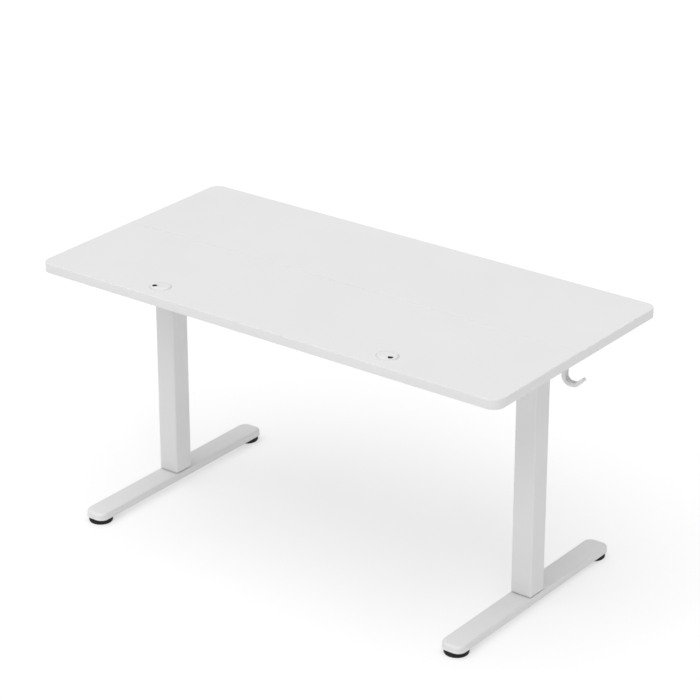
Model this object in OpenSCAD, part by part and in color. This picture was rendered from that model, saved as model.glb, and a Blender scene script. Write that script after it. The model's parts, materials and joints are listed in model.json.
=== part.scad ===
// Height adjustable standing desk, shown at its lowest setting.
// +Z is up, X runs along the desk, the user sits on the -Y side.
// The origin is on the floor, under the middle of the worktop.
// Each column is built in its own frame, where +x points away from the desk's middle.

/* [Worktop] */
// Length of the worktop from end to end
top_length = 1400; // [1300:10:1600]
// Depth of the worktop from front to back
top_depth = 700; // [680:10:800]
// Thickness of the two boards
board_thickness = 25; // [22:1:30]
// Plan radius of the worktop's four corners
corner_radius = 30; // [10:1:60]
// Height of the worktop at the lowest setting
desk_height = 715; // [700:5:760]
// Width of the fine gap between the two boards
seam_gap = 0.2; // [0.1:0.1:1]

/* [Cable grommets] */
// Distance of each grommet from the desk's middle
grommet_x = 350; // [250:10:420]
// Distance of each grommet behind the seam
grommet_y = 292; // [200:1:300]
// Radius of the hole through the board
grommet_hole_r = 27; // [25:1:30]
// Radius of the flange that covers the hole's edge
grommet_flange_r = 29; // [28:1:34]
// Radius of the cable hole in the turning lid
cable_hole_r = 8; // [5:0.5:9]

/* [Columns] */
// Distance of each column from the desk's middle
column_x = 570; // [540:5:580]
// Width of the square outer tube
outer_tube = 60; // [60:1:62]
// Wall of the outer tube
outer_wall = 1.8; // [1.5:0.1:2.2]
// Width of the square inner tube
inner_tube = 53; // [52:0.5:53.5]
// Wall of the inner tube
inner_wall = 2; // [1.5:0.1:2.5]
// Height of the outer tube's lower end above the foot
column_gap = 3.5; // [2:0.5:8]
// Travel from the lowest to the highest setting
travel = 470; // [300:10:470]

/* [Feet] */
// Length of each foot from front to back
foot_length = 670; // [600:10:700]
// Width of each foot
foot_width = 65; // [64:1:80]
// Height of the foot's pressed steel shell
foot_height = 19; // [18:1:30]
// Plan radius of the foot's ends
foot_end_radius = 22; // [10:1:30]
// Rounding of the foot's upper edges
foot_edge_radius = 6; // [3:1:8]
// Distance of each levelling pad from the column, front and back
pad_y = 304; // [270:1:305]
// Radius of a levelling pad
pad_r = 31.5; // [22:0.5:32]

/* [Handset] */
// Place of the handset along the front edge
handset_x = 430; // [350:10:450]
// Width of the handset's case
handset_width = 120; // [120:1:140]
// Depth of the handset's case from its face to its back
handset_depth = 36; // [30:1:45]
// Height of the handset's case
handset_height = 20; // [20:1:24]

/* [Hidden] */
$fn = 96;
eps = 0.5;

// Levels of the top and the upper frame
under_z = desk_height - board_thickness;
sheet = 2.5;
bracket_z = under_z - sheet;
head_z = under_z - 50;
head_plate = 3;
rail_z = head_z + head_plate;

// Feet and pads
foot_z = 14;
foot_top = foot_z + foot_height;
foot_wall = 2.5;
foot_skin_z = foot_top - foot_wall;
pad_height = 12;
stud_r = 4;
foot_bolt_offset = 18;

// Columns
outer_bottom = foot_top + column_gap;
outer_bore = outer_tube - 2 * outer_wall;
inner_bore = inner_tube - 2 * inner_wall;
inner_top = under_z - 80;
tube_plate = 6;
glide_gap = 0.3;
glide_length = 40;
nut_height = 20;

// Screw drive on top of each column
screw_r = 8;
journal_r = 6;
running_gap = 0.05;
screw_bottom = inner_top - travel - 30;
bearing_r = 14;
bearing_height = 10;
wheel_r = 20;
wheel_teeth = 24;
wheel_height = 12;
wheel_z = rail_z + 16;
worm_r = 4.2;
worm_y = wheel_r + worm_r + 0.3;
worm_z = wheel_z + wheel_height / 2;
case_half_x = 36;
case_y0 = -30;
case_y1 = 44;
case_height = under_z - 4 - rail_z;
motor_r = 21;
motor_length = 95;

// Rails that join the two columns
rail_y = 75;
rail_width = 25;
rail_height = 40;
rail_wall = 2;
rail_end = column_x + 20;

// Brackets that carry the boards
bracket_half_x = 42;
notch_gap = 0.5;
motor_gap = 3;
bracket_half_y = 300;
bracket_tip = 18;
head_half_y = 100;
flange_bolt_y = 80;
flange_bolt_z = head_z + 20;

// Screws and bolts
wood_screw_r = 2;
wood_screw_depth = 15;
wood_head_r = 4.5;
wood_head = 2.5;
bolt_r = 3;
bolt_head_r = 5.5;

// Places of the wood screws, each [x, y], under a sheet of thickness sheet
bracket_screws = [for (x = [-column_x, column_x], y = [-250, -130, 130, 250]) [x, y]];
seam_plate_x = 300;
seam_screws = [for (x = [-seam_plate_x, seam_plate_x], dx = [-12, 12], y = [-30, 30]) [x + dx, y]];
box_screws = [for (x = [-70, 70], y = [-54, 54]) [x, y]];
handset_tab_y = -top_depth / 2 + 22;
handset_screws = [for (s = [-1, 1]) [handset_x + s * (handset_width / 2 + 6), handset_tab_y]];
hook_x = 642;
hook_y = -26;
hook_screws = [for (dx = [-16, 16]) [-hook_x + dx, hook_y]];
all_screws = concat(bracket_screws, seam_screws, box_screws, handset_screws, hook_screws);

// Dowels across the seam
dowel_r = 4;
dowel_half = 30;
dowel_z = desk_height - board_thickness / 2;
dowel_places = [-620, -400, -150, 150, 400, 620];

// Control box
box_half_x = 100;
box_half_y = 48;
box_height = 34;
box_wall = 2;
box_z = under_z - 3 - box_height;
lead_level = box_z + 18;
inlet_y = -18;

// Handset
face_y = -top_depth / 2 + 3;
handset_z = under_z - handset_height;
key_z = handset_z + 9;
key_out = 1.2;
key_gap = 0.3;
// Collar behind each key that keeps it in the case, measured back from the case's face
key_collar_front = 2.3;
key_collar_back = 3.8;
key_collar_rim = 1;
// Each key is [place along the case, width, height]
key_places = [[-48, 12, 9], [-33, 12, 9], [-18, 12, 9], [29, 14, 9], [47, 14, 9]];
window_x = 4;
window_w = 26;
window_h = 11;

// Leads, held along the underside by clips
lead_r = 2;
lead_z = under_z - 3.5;
lead_steps = 3;
motor_end = column_x - case_half_x - motor_length;
motor_lead_y = 26;
handset_lead_x = 460;
handset_lead_y = -25;
motor_route = [[motor_end, worm_y, worm_z + 8], [motor_end - 10, motor_lead_y, worm_z + 8],
    [motor_end - 24, 32, under_z - 10], [motor_end - 40, 44, lead_z], [380, 53, lead_z],
    [340, 54, lead_z], [300, 54, lead_z], [250, 54, lead_z], [200, 54, lead_z],
    [160, 50, under_z - 4], [135, 38, under_z - 10], [116, 28, lead_level + 2.5],
    [box_half_x, motor_lead_y, lead_level]];
handset_route = [[handset_lead_x, face_y + handset_depth, under_z - 10],
    [handset_lead_x, -298, under_z - 8], [457, -282, under_z - 4], [446, -264, lead_z],
    [420, -252, lead_z], [370, -250, lead_z], [300, -240, lead_z], [240, -205, lead_z],
    [200, -155, lead_z], [186, -110, lead_z], [180, -75, lead_z], [168, -46, under_z - 4],
    [146, -31, under_z - 10], [120, -26, lead_level + 2.5], [box_half_x, handset_lead_y, lead_level]];
// Clips along the leads: which points of the smooth paths they sit on
motor_clip_steps = [16, 21];
handset_clip_steps = [15, 26];
clip_gap = 0.5;
clip_half_x = 5;
clip_half_y = 6;
clip_depth = 4;

// ---- Shared shapes ----

// Places a column's parts on the left (-1) or right (1) of the desk
module at_side(side) {
    translate([side * column_x, 0, 0])
        mirror([side < 0 ? 1 : 0, 0, 0])
            children();
}

// Rectangle with true round corners
module rounded_rect(width, depth, radius) {
    square([width - 2 * radius, depth], center = true);
    square([width, depth - 2 * radius], center = true);
    for (x = [-1, 1], y = [-1, 1])
        translate([x * (width / 2 - radius), y * (depth / 2 - radius)])
            circle(radius);
}

// Square tube standing on z0
module square_tube(width, wall, radius, z0, z1) {
    translate([0, 0, z0])
        linear_extrude(z1 - z0)
            difference() {
                rounded_rect(width, width, radius);
                rounded_rect(width - 2 * wall, width - 2 * wall, radius - wall + 0.5);
            }
}

// Box given by its low and high corners
module box(low, high) {
    translate(low)
        cube(high - low);
}

// Cylinder from z0 to z1
module rod(radius, z0, z1) {
    translate([0, 0, z0])
        cylinder(r = radius, h = z1 - z0);
}

// Shanks of the wood screws, as holes or as solids
module screw_shanks(places) {
    for (p = places)
        translate([p[0], p[1], 0])
            rod(wood_screw_r, bracket_z, under_z + wood_screw_depth);
}

// ---- Worktop ----

module worktop_outline() {
    translate([0, 0, under_z])
        linear_extrude(board_thickness)
            rounded_rect(top_length, top_depth, corner_radius);
}

module dowels() {
    for (x = dowel_places)
        translate([x, -dowel_half, dowel_z])
            rotate([-90, 0, 0])
                cylinder(r = dowel_r, h = 2 * dowel_half);
}

module board(y0, y1) {
    difference() {
        intersection() {
            worktop_outline();
            box([-top_length, y0, 0], [top_length, y1, 2 * desk_height]);
        }
        dowels();
        screw_shanks(all_screws);
        for (side = [-1, 1])
            translate([side * grommet_x, grommet_y, 0])
                rod(grommet_hole_r, under_z - eps, desk_height + eps);
    }
}

module rear_board() {
    color("white")
        board(seam_gap / 2, top_depth);
}

module front_board() {
    color("white")
        board(-top_depth, -seam_gap / 2);
}

module board_dowels() {
    color("burlywood")
        dowels();
}

module seam_plates() {
    color("silver")
        difference() {
            for (x = [-seam_plate_x, seam_plate_x])
                translate([x, 0, bracket_z])
                    linear_extrude(sheet)
                        rounded_rect(44, 90, 5);
            screw_shanks(seam_screws);
        }
}

// ---- Cable grommets ----

grommet_tube_r = grommet_hole_r - 2;
flange_thickness = 1.6;
lid_seat = 0.8;
lid_r = 26;

module grommet_sleeve(side) {
    color("white")
        translate([side * grommet_x, grommet_y, 0])
            difference() {
                union() {
                    rod(grommet_hole_r, under_z + 3, desk_height);
                    rod(grommet_flange_r, desk_height, desk_height + flange_thickness);
                }
                rod(grommet_tube_r, under_z, desk_height + 2 * flange_thickness);
                rod(lid_r + 0.3, desk_height + lid_seat - 0.3, desk_height + 2 * flange_thickness);
            }
}

module grommet_lid(side) {
    hole_x = side * (grommet_tube_r - cable_hole_r - 5);
    color("white")
        translate([side * grommet_x, grommet_y, 0])
            difference() {
                union() {
                    rod(lid_r, desk_height + lid_seat, desk_height + flange_thickness + 0.4);
                    difference() {
                        rod(grommet_tube_r - 0.3, desk_height - 8, desk_height + lid_seat);
                        rod(grommet_tube_r - 1.8, desk_height - 9, desk_height + lid_seat);
                    }
                }
                translate([hole_x, 5, 0])
                    rod(cable_hole_r, desk_height - 10, desk_height + 10);
            }
}

// ---- Upper frame ----

// Long inverted channel: a flat web under the boards and two legs that taper to the tips
module side_bracket_channel() {
    leg_end = bracket_z - bracket_tip + sheet;
    difference() {
        translate([-bracket_half_x, 0, 0])
            rotate([90, 0, 90])
                linear_extrude(2 * bracket_half_x)
                    polygon([[-bracket_half_y, under_z], [bracket_half_y, under_z],
                        [bracket_half_y, leg_end], [head_half_y + 15, rail_z],
                        [-head_half_y - 15, rail_z], [-bracket_half_y, leg_end]]);
        box([-bracket_half_x + sheet, -bracket_half_y - 1, rail_z - 1],
            [bracket_half_x - sheet, bracket_half_y + 1, bracket_z]);
    }
}

module side_bracket(side) {
    color("white")
        difference() {
            at_side(side)
                difference() {
                    side_bracket_channel();
                    // notch for the motor in the inner leg
                    box([-bracket_half_x - 1, worm_y - motor_r - motor_gap, rail_z - 1],
                        [-bracket_half_x + sheet + 1, worm_y + motor_r + motor_gap, bracket_z]);
                    // notches for the two rails
                    for (s = [-1, 1])
                        translate([0, s * rail_y, 0])
                            box([-bracket_half_x - 1, -rail_width / 2 - notch_gap, rail_z - 1],
                                [-bracket_half_x + sheet + 1, rail_width / 2 + notch_gap,
                                    rail_z + rail_height + 1]);
                    flange_bolt_shanks();
                }
            screw_shanks(bracket_screws);
        }
}

// Rectangular tube from column to column
module rail(s) {
    color("white")
        difference() {
            translate([-rail_end, s * rail_y, rail_z + rail_height / 2])
                rotate([90, 0, 90])
                    linear_extrude(2 * rail_end)
                        difference() {
                            rounded_rect(rail_width, rail_height, 4);
                            rounded_rect(rail_width - 2 * rail_wall, rail_height - 2 * rail_wall, 2);
                        }
            for (side = [-1, 1])
                at_side(side)
                    rail_bolt_shanks();
        }
}

module rail_bolt_places() {
    for (x = [-30, 5], y = [-rail_y, rail_y])
        translate([x, y, 0])
            children();
}

module rail_bolt_shanks() {
    rail_bolt_places()
        rod(bolt_r, head_z, rail_z + rail_wall + 5);
}

module flange_bolt_shanks() {
    for (y = [-flange_bolt_y, flange_bolt_y])
        translate([bracket_half_x - 11, y, flange_bolt_z])
            rotate([0, 90, 0])
                cylinder(r = bolt_r, h = 11);
}

// Plate welded on the outer tube, with one upright flange for the bracket
module column_head(side) {
    plate_half_x = bracket_half_x;
    flange_x = bracket_half_x - sheet;
    color("white")
        at_side(side)
            difference() {
                union() {
                    translate([0, 0, head_z])
                        linear_extrude(head_plate)
                            rounded_rect(2 * plate_half_x, 2 * head_half_y, 6);
                    box([flange_x - 3, -head_half_y + 6, head_z], [flange_x, head_half_y - 6, head_z + 34]);
                }
                rod(screw_r + 2, head_z - 1, rail_z + 1);
                rail_bolt_shanks();
                flange_bolt_shanks();
            }
}

// ---- Columns ----

module column_outer_tube(side) {
    color("white")
        at_side(side)
            square_tube(outer_tube, outer_wall, 5, outer_bottom, head_z);
}

module lower_glides(side) {
    wall = (outer_bore - inner_tube) / 2 - glide_gap;
    color("gainsboro")
        at_side(side)
            translate([0, 0, outer_bottom + 4])
                linear_extrude(glide_length)
                    difference() {
                        rounded_rect(outer_bore, outer_bore, 3.7);
                        rounded_rect(outer_bore - 2 * wall, outer_bore - 2 * wall, 3);
                    }
}

module column_inner_tube(side) {
    color("white")
        at_side(side)
            difference() {
                union() {
                    square_tube(inner_tube, inner_wall, 4, foot_top, inner_top);
                    translate([0, 0, foot_top])
                        linear_extrude(tube_plate)
                            rounded_rect(inner_bore + 1, inner_bore + 1, 3);
                }
                foot_bolt_shanks();
            }
}

module upper_glides(side) {
    outside = outer_bore - 2 * glide_gap;
    color("gainsboro")
        at_side(side)
            translate([0, 0, inner_top - glide_length])
                linear_extrude(glide_length)
                    difference() {
                        rounded_rect(outside, outside, 4);
                        rounded_rect(inner_tube, inner_tube, 4);
                    }
}

module screw_nut(side) {
    color("ivory")
        at_side(side)
            difference() {
                translate([0, 0, inner_top - nut_height - 2])
                    linear_extrude(nut_height)
                        rounded_rect(inner_bore, inner_bore, 2.5);
                rod(screw_r + running_gap, inner_top - nut_height - 5, inner_top);
            }
}

// ---- Screw drive ----

module lift_screw(side) {
    color("gray")
        at_side(side) {
            rod(screw_r, screw_bottom, rail_z + 1.8);
            rod(journal_r, rail_z + 1.8, wheel_z + wheel_height + 9);
        }
}

module screw_bearing(side) {
    color("silver")
        at_side(side)
            difference() {
                rod(bearing_r, rail_z + 2, rail_z + 2 + bearing_height);
                rod(journal_r + running_gap, rail_z, rail_z + 20);
                translate([0, 0, rail_z + 2 + bearing_height])
                    rotate_extrude()
                        translate([10, 0])
                            square([2, 2], center = true);
            }
}

module worm_wheel(side) {
    slot_depth = 2.4;
    color("khaki")
        at_side(side)
            translate([0, 0, wheel_z])
                linear_extrude(wheel_height)
                    difference() {
                        circle(wheel_r);
                        circle(journal_r);
                        for (i = [0:wheel_teeth - 1])
                            rotate(i * 360 / wheel_teeth)
                                translate([wheel_r - slot_depth, -1.3])
                                    square([2 * slot_depth, 2.6]);
                    }
}

// Lies along x, from inside the motor to the far bush
module worm_shaft(side) {
    color("gray")
        at_side(side)
            translate([-case_half_x - 14, worm_y, worm_z])
                rotate([0, 90, 0])
                    cylinder(r = worm_r, h = case_half_x + 14 + 26);
}

module worm_bore(radius, x0, x1) {
    translate([x0, worm_y, worm_z])
        rotate([0, 90, 0])
            cylinder(r = radius, h = x1 - x0);
}

module gearbox_case(side) {
    color("dimgray")
        at_side(side)
            difference() {
                translate([0, (case_y0 + case_y1) / 2, rail_z])
                    linear_extrude(case_height)
                        rounded_rect(2 * case_half_x, case_y1 - case_y0, 6);
                rod(screw_r + 2, rail_z - 1, rail_z + 2);
                rod(bearing_r, rail_z + 2, rail_z + 2 + bearing_height);
                rod(wheel_r + 1.5, rail_z + 2 + bearing_height, wheel_z + wheel_height + 2);
                rod(journal_r + running_gap, wheel_z, wheel_z + wheel_height + 9.2);
                worm_bore(worm_r + running_gap, -case_half_x - 1, 26.3);
                worm_bore(worm_r + 3, -28, 20);
                for (x = [-28, 28], y = [case_y0 + 7, case_y1 - 7])
                    translate([x, y, 0])
                        rod(2.2, rail_z - 1, rail_z + 6);
            }
}

// Can with a front boss and a stepped rear cap, lying along x
module motor(side) {
    color("silver")
        at_side(side)
            translate([-case_half_x, worm_y, worm_z])
                rotate([0, -90, 0])
                    difference() {
                        union() {
                            cylinder(r = motor_r - 2, h = 4);
                            translate([0, 0, 4])
                                cylinder(r = motor_r, h = motor_length - 16);
                            translate([0, 0, motor_length - 12])
                                cylinder(r = motor_r - 1.5, h = 12);
                        }
                        translate([0, 0, -1])
                            cylinder(r = worm_r + 0.3, h = 16);
                    }
}

// ---- Feet ----

module foot_bolt_places() {
    for (x = [-1, 1], y = [-1, 1])
        translate([x * foot_bolt_offset, y * foot_bolt_offset, 0])
            children();
}

module foot_bolt_shanks() {
    foot_bolt_places()
        rod(4, foot_skin_z, foot_top + tube_plate);
}

module foot_profile(width) {
    r = foot_edge_radius;
    translate([-width / 2, foot_z])
        square([width, foot_height - r]);
    translate([-width / 2 + r, foot_z])
        square([width - 2 * r, foot_height]);
    for (s = [-1, 1])
        translate([s * (width / 2 - r), foot_top - r])
            circle(r);
}

// Pressed shell: plan outline cut by a rounded section along and across
module foot_shell() {
    intersection() {
        translate([0, 0, foot_z])
            linear_extrude(foot_height)
                rounded_rect(foot_width, foot_length, foot_end_radius);
        translate([0, foot_length, 0])
            rotate([90, 0, 0])
                linear_extrude(2 * foot_length)
                    foot_profile(foot_width);
        translate([-foot_width, 0, 0])
            rotate([90, 0, 90])
                linear_extrude(2 * foot_width)
                    foot_profile(foot_length);
    }
}

module foot(side) {
    color("white")
        at_side(side)
            difference() {
                union() {
                    difference() {
                        foot_shell();
                        translate([0, 0, foot_z - 1])
                            linear_extrude(foot_skin_z - foot_z + 1)
                                rounded_rect(foot_width - 2 * foot_wall, foot_length - 2 * foot_wall,
                                    foot_end_radius - foot_wall);
                    }
                    for (y = [-pad_y, pad_y])
                        translate([0, y, 0])
                            rod(10, foot_z + 1, foot_skin_z + 1);
                }
                for (y = [-pad_y, pad_y])
                    translate([0, y, 0])
                        rod(stud_r + 0.3, foot_z - 1, foot_skin_z + 0.5);
                foot_bolt_shanks();
            }
}

module foot_bolts(side) {
    color("dimgray")
        at_side(side)
            foot_bolt_places() {
                rod(6.5, foot_skin_z - 5, foot_skin_z);
                rod(4, foot_skin_z, foot_top + tube_plate);
            }
}

// Levelling pad with its threaded stud
module pad(side, y_sign) {
    color("black")
        translate([side * column_x, y_sign * pad_y, 0]) {
            rotate_extrude()
                polygon([[0, 0], [pad_r - 2.5, 0], [pad_r, 3], [pad_r, pad_height - 2],
                    [pad_r - 1.5, pad_height], [0, pad_height]]);
            rod(stud_r, pad_height - eps, foot_skin_z - 1.5);
        }
}

// ---- Control box ----

module control_box_case() {
    color("black")
        difference() {
            translate([0, 0, box_z])
                linear_extrude(box_height)
                    rounded_rect(2 * box_half_x, 2 * box_half_y, 6);
            translate([0, 0, box_z + box_wall])
                linear_extrude(box_height)
                    rounded_rect(2 * (box_half_x - box_wall), 2 * (box_half_y - box_wall), 4);
            // vents through the lower face
            for (i = [-5:5])
                translate([i * 8, 20, box_z - 1])
                    linear_extrude(box_wall + 2)
                        rounded_rect(3, 30, 1.4);
            // holes for the leads, and the opening for the inlet
            for (p = [[1, motor_lead_y], [1, handset_lead_y], [-1, motor_lead_y]])
                translate([p[0] * box_half_x, p[1], lead_level])
                    rotate([0, 90, 0])
                        cylinder(r = lead_r + 1, h = 10, center = true);
            box([-box_half_x - 1, inlet_y - 13.5, lead_level - 10.5],
                [-box_half_x + 5, inlet_y + 13.5, lead_level + 10.5]);
        }
}

module control_box_base() {
    color("black")
        difference() {
            union() {
                translate([0, 0, under_z - 3])
                    linear_extrude(3)
                        rounded_rect(2 * box_half_x, 2 * box_half_y, 6);
                for (x = [-70, 70])
                    translate([x, 0, under_z - 3])
                        linear_extrude(3)
                            rounded_rect(16, 2 * box_half_y + 24, 4);
            }
            screw_shanks(box_screws);
            for (p = box_screws)
                translate([p[0], p[1], 0])
                    rod(wood_head_r, under_z - 4, bracket_z);
        }
}

module control_board() {
    z0 = box_z + box_wall + 4;
    color("green") {
        box([-70, -44, z0], [90, 44, z0 + 1.6]);
        box([-60, -8, z0 + 1.6], [-26, 26, z0 + 20]);
        for (x = [-10, 10, 30])
            translate([x, -24, 0])
                rod(7, z0 + 1.6, z0 + 19);
        box([0, 8, z0 + 1.6], [44, 14, z0 + 18]);
        box([60, -30, z0 + 1.6], [80, -10, z0 + 9]);
        for (p = [handset_lead_y, motor_lead_y])
            box([84, p - 6, z0 + 1.6], [94, p + 6, z0 + 11]);
    }
}

// Recessed three pin socket for a mains lead
module mains_inlet() {
    color("black")
        translate([-box_half_x, inlet_y, lead_level]) {
            difference() {
                union() {
                    box([-2, -16, -12.5], [0, 16, 12.5]);
                    box([0, -13.5, -10.5], [22, 13.5, 10.5]);
                }
                box([-3, -12, -8], [19, 12, 8]);
            }
            for (p = [[-7, 1], [0, -3], [7, 1]])
                box([8, p[0] - 1, p[1] - 2], [20, p[0] + 1, p[1] + 2]);
        }
}

// ---- Handset ----

module key_outline(key, gap) {
    translate([handset_x + key[0], face_y, key_z])
        rotate([90, 0, 0])
            translate([0, 0, -10])
                linear_extrude(20)
                    rounded_rect(key[1] + 2 * gap, key[2] + 2 * gap, 2);
}

module handset_case() {
    x0 = handset_x - handset_width / 2;
    x1 = handset_x + handset_width / 2;
    y1 = face_y + handset_depth;
    color("white")
        difference() {
            union() {
                difference() {
                    translate([handset_x, face_y + handset_depth / 2, handset_z])
                        linear_extrude(handset_height)
                            rounded_rect(handset_width, handset_depth, 5);
                    box([x0 + 2.5, face_y + 2, handset_z + 2], [x1 - 2.5, y1 - 2, under_z - 2.5]);
                }
                translate([handset_x, handset_tab_y, bracket_z])
                    linear_extrude(sheet)
                        rounded_rect(handset_width + 24, 14, 5);
            }
            for (key = key_places)
                intersection() {
                    key_outline(key, key_gap);
                    box([x0, face_y - 1, 0], [x1, face_y + 3, under_z]);
                }
            box([handset_x + window_x - window_w / 2, face_y - 1, key_z - window_h / 2],
                [handset_x + window_x + window_w / 2, face_y + 1.2, key_z + window_h / 2]);
            screw_shanks(handset_screws);
            translate([handset_lead_x, y1 - 5, under_z - 10])
                rotate([-90, 0, 0])
                    cylinder(r = lead_r + 0.2, h = 10);
        }
}

module handset_window() {
    color("black")
        box([handset_x + window_x - window_w / 2, face_y + 0.2, key_z - window_h / 2],
            [handset_x + window_x + window_w / 2, face_y + 1.2, key_z + window_h / 2]);
}

// Cap that stands out of the case, and a flange that keeps it in
module handset_key(i) {
    key = key_places[i];
    color("lightgray") {
        intersection() {
            key_outline(key, 0);
            box([0, face_y - key_out, 0], [top_length, face_y + key_collar_front, under_z]);
        }
        translate([handset_x + key[0], face_y + key_collar_back, key_z])
            rotate([90, 0, 0])
                linear_extrude(key_collar_back - key_collar_front)
                    square([key[1] + 2 * key_collar_rim, key[2] + 1.6], center = true);
    }
}

// ---- Leads ----

// Point on a smooth curve through four route points
function spline(a, b, c, d, t) =
    0.5 * (2 * b + (c - a) * t + (2 * a - 5 * b + 4 * c - d) * t * t + (3 * b - a - 3 * c + d) * t * t * t);
function clamped(route, i) = route[max(0, min(len(route) - 1, i))];
function smooth(route) = concat(
    [for (i = [0:len(route) - 2], k = [0:lead_steps - 1])
        spline(clamped(route, i - 1), route[i], route[i + 1], clamped(route, i + 2), k / lead_steps)],
    [route[len(route) - 1]]);
function unit(v) = v / norm(v);
function heading(path, i) = unit(path[min(len(path) - 1, i + 1)] - path[max(0, i - 1)]);
function ring(centre, along, radius, sides) =
    let (u = unit(cross(along, abs(along[2]) < 0.9 ? [0, 0, 1] : [1, 0, 0])), v = cross(along, u))
        [for (k = [0:sides - 1]) centre + radius * (cos(k * 360 / sides) * u + sin(k * 360 / sides) * v)];

// Tube of eight sides along a smooth path
module lead(path, radius) {
    sides = 8;
    n = len(path);
    points = [for (i = [0:n - 1]) each ring(path[i], heading(path, i), radius, sides)];
    side_faces = [for (i = [0:n - 2], k = [0:sides - 1])
        [i * sides + k, (i + 1) * sides + k, (i + 1) * sides + (k + 1) % sides,
            i * sides + (k + 1) % sides]];
    start_face = [for (k = [0:sides - 1]) k];
    end_face = [for (k = [sides - 1:-1:0]) (n - 1) * sides + k];
    polyhedron(points, concat(side_faces, [start_face, end_face]), convexity = 6);
}

module motor_leads() {
    color("dimgray")
        for (side = [0, 1])
            mirror([side, 0, 0])
                lead(smooth(motor_route), lead_r);
}

module handset_lead() {
    color("dimgray")
        lead(smooth(handset_route), lead_r);
}

// Stick-on saddles over a lead, each turned to the lead's direction
module saddles(path, steps) {
    for (i = steps) {
        along = heading(path, i);
        translate([path[i][0], path[i][1], 0])
            rotate(atan2(along[1], along[0]))
                difference() {
                    box([-clip_half_x, -clip_half_y, lead_z - clip_depth],
                        [clip_half_x, clip_half_y, under_z]);
                    translate([-10, 0, lead_z])
                        rotate([0, 90, 0])
                            cylinder(r = lead_r + clip_gap, h = 20);
                }
    }
}

module lead_clips() {
    color("black") {
        for (side = [0, 1])
            mirror([side, 0, 0])
                saddles(smooth(motor_route), motor_clip_steps);
        saddles(smooth(handset_route), handset_clip_steps);
    }
}

// ---- Hook ----

hook_thickness = 10;
hook_width = 18;
bend_r = 24;
hook_low = under_z - 81;

// Part of the hook's bend, from one angle to another an eighth or a quarter turn on
module bend_sector(start, turn) {
    intersection() {
        difference() {
            circle(bend_r);
            circle(bend_r - hook_thickness);
        }
        rotate(start)
            square(2 * bend_r);
        rotate(start + turn - 90)
            square(2 * bend_r);
    }
}

// Side view of the hook: strap, round bend, short floor and a lip that rises at 45 degrees
module hook_profile() {
    t = hook_thickness;
    bend_x = bend_r - t / 2;
    bend_z = hook_low + bend_r;
    floor_length = 7;
    lip_thickness = 9;
    lip_length = 17;
    translate([-t / 2, bend_z])
        square([t, bracket_z - bend_z]);
    translate([bend_x, bend_z])
        bend_sector(180, 90);
    translate([bend_x, hook_low])
        square([floor_length, t]);
    translate([bend_x + floor_length, bend_z]) {
        bend_sector(-90, 45);
        // the lip is a little thinner than the bend, and starts inside it
        rotate(-45)
            translate([bend_r - t / 2, 0]) {
                translate([-lip_thickness / 2, -1])
                    square([lip_thickness, lip_length + 1]);
                translate([0, lip_length])
                    circle(lip_thickness / 2);
            }
    }
}

module headphone_hook() {
    color("white")
        difference() {
            union() {
                translate([-hook_x, hook_y + hook_width / 2, 0])
                    mirror([1, 0, 0])
                        rotate([90, 0, 0])
                            linear_extrude(hook_width)
                                hook_profile();
                translate([-hook_x, hook_y, bracket_z])
                    linear_extrude(sheet)
                        rounded_rect(48, hook_width, 6);
            }
            screw_shanks(hook_screws);
        }
}

// ---- Fasteners ----

module wood_screws() {
    for (p = all_screws)
        translate([p[0], p[1], 0]) {
            difference() {
                rod(wood_head_r, bracket_z - wood_head, bracket_z);
                translate([0, 0, bracket_z - wood_head + 0.6])
                    cube([6, 1.2, 1.6], center = true);
                translate([0, 0, bracket_z - wood_head + 0.6])
                    cube([1.2, 6, 1.6], center = true);
            }
            rod(wood_screw_r, bracket_z, under_z + wood_screw_depth);
        }
}

module frame_bolts(side) {
    at_side(side) {
        rail_bolt_places() {
            difference() {
                rod(bolt_head_r, head_z - 4, head_z);
                translate([0, 0, head_z - 5])
                    cylinder(r = 2.9, h = 3.4, $fn = 6);
            }
            rod(bolt_r, head_z, rail_z + rail_wall + 5);
            translate([0, 0, rail_z + rail_wall])
                difference() {
                    cylinder(r = 5.8, h = 5, $fn = 6);
                    translate([0, 0, -1])
                        cylinder(r = bolt_r, h = 8);
                }
        }
        for (y = [-flange_bolt_y, flange_bolt_y])
            translate([bracket_half_x, y, flange_bolt_z])
                rotate([0, 90, 0]) {
                    difference() {
                        cylinder(r = bolt_head_r, h = 4);
                        translate([0, 0, 1.6])
                            cylinder(r = 2.9, h = 3.4, $fn = 6);
                    }
                    translate([0, 0, -11])
                        cylinder(r = bolt_r, h = 11);
                    translate([0, 0, -10.5])
                        difference() {
                            cylinder(r = 5.8, h = 5, $fn = 6);
                            translate([0, 0, -1])
                                cylinder(r = bolt_r, h = 8);
                        }
                }
    }
}

module fasteners() {
    color("silver") {
        wood_screws();
        frame_bolts(-1);
        frame_bolts(1);
    }
}

rear_board();
front_board();
board_dowels();
seam_plates();
grommet_sleeve(-1);  // left_grommet_sleeve
grommet_sleeve(1);  // right_grommet_sleeve
grommet_lid(-1);  // left_grommet_lid
grommet_lid(1);  // right_grommet_lid
side_bracket(-1);  // left_side_bracket
side_bracket(1);  // right_side_bracket
rail(-1);  // front_rail
rail(1);  // rear_rail
column_head(-1);  // left_column_head
column_head(1);  // right_column_head
column_outer_tube(-1);  // left_outer_tube
column_outer_tube(1);  // right_outer_tube
lower_glides(-1);  // left_lower_glides
lower_glides(1);  // right_lower_glides
gearbox_case(-1);  // left_gearbox_case
gearbox_case(1);  // right_gearbox_case
motor(-1);  // left_motor
motor(1);  // right_motor
screw_bearing(-1);  // left_screw_bearing
screw_bearing(1);  // right_screw_bearing
lift_screw(-1);  // left_lift_screw
lift_screw(1);  // right_lift_screw
worm_wheel(-1);  // left_worm_wheel
worm_wheel(1);  // right_worm_wheel
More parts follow.
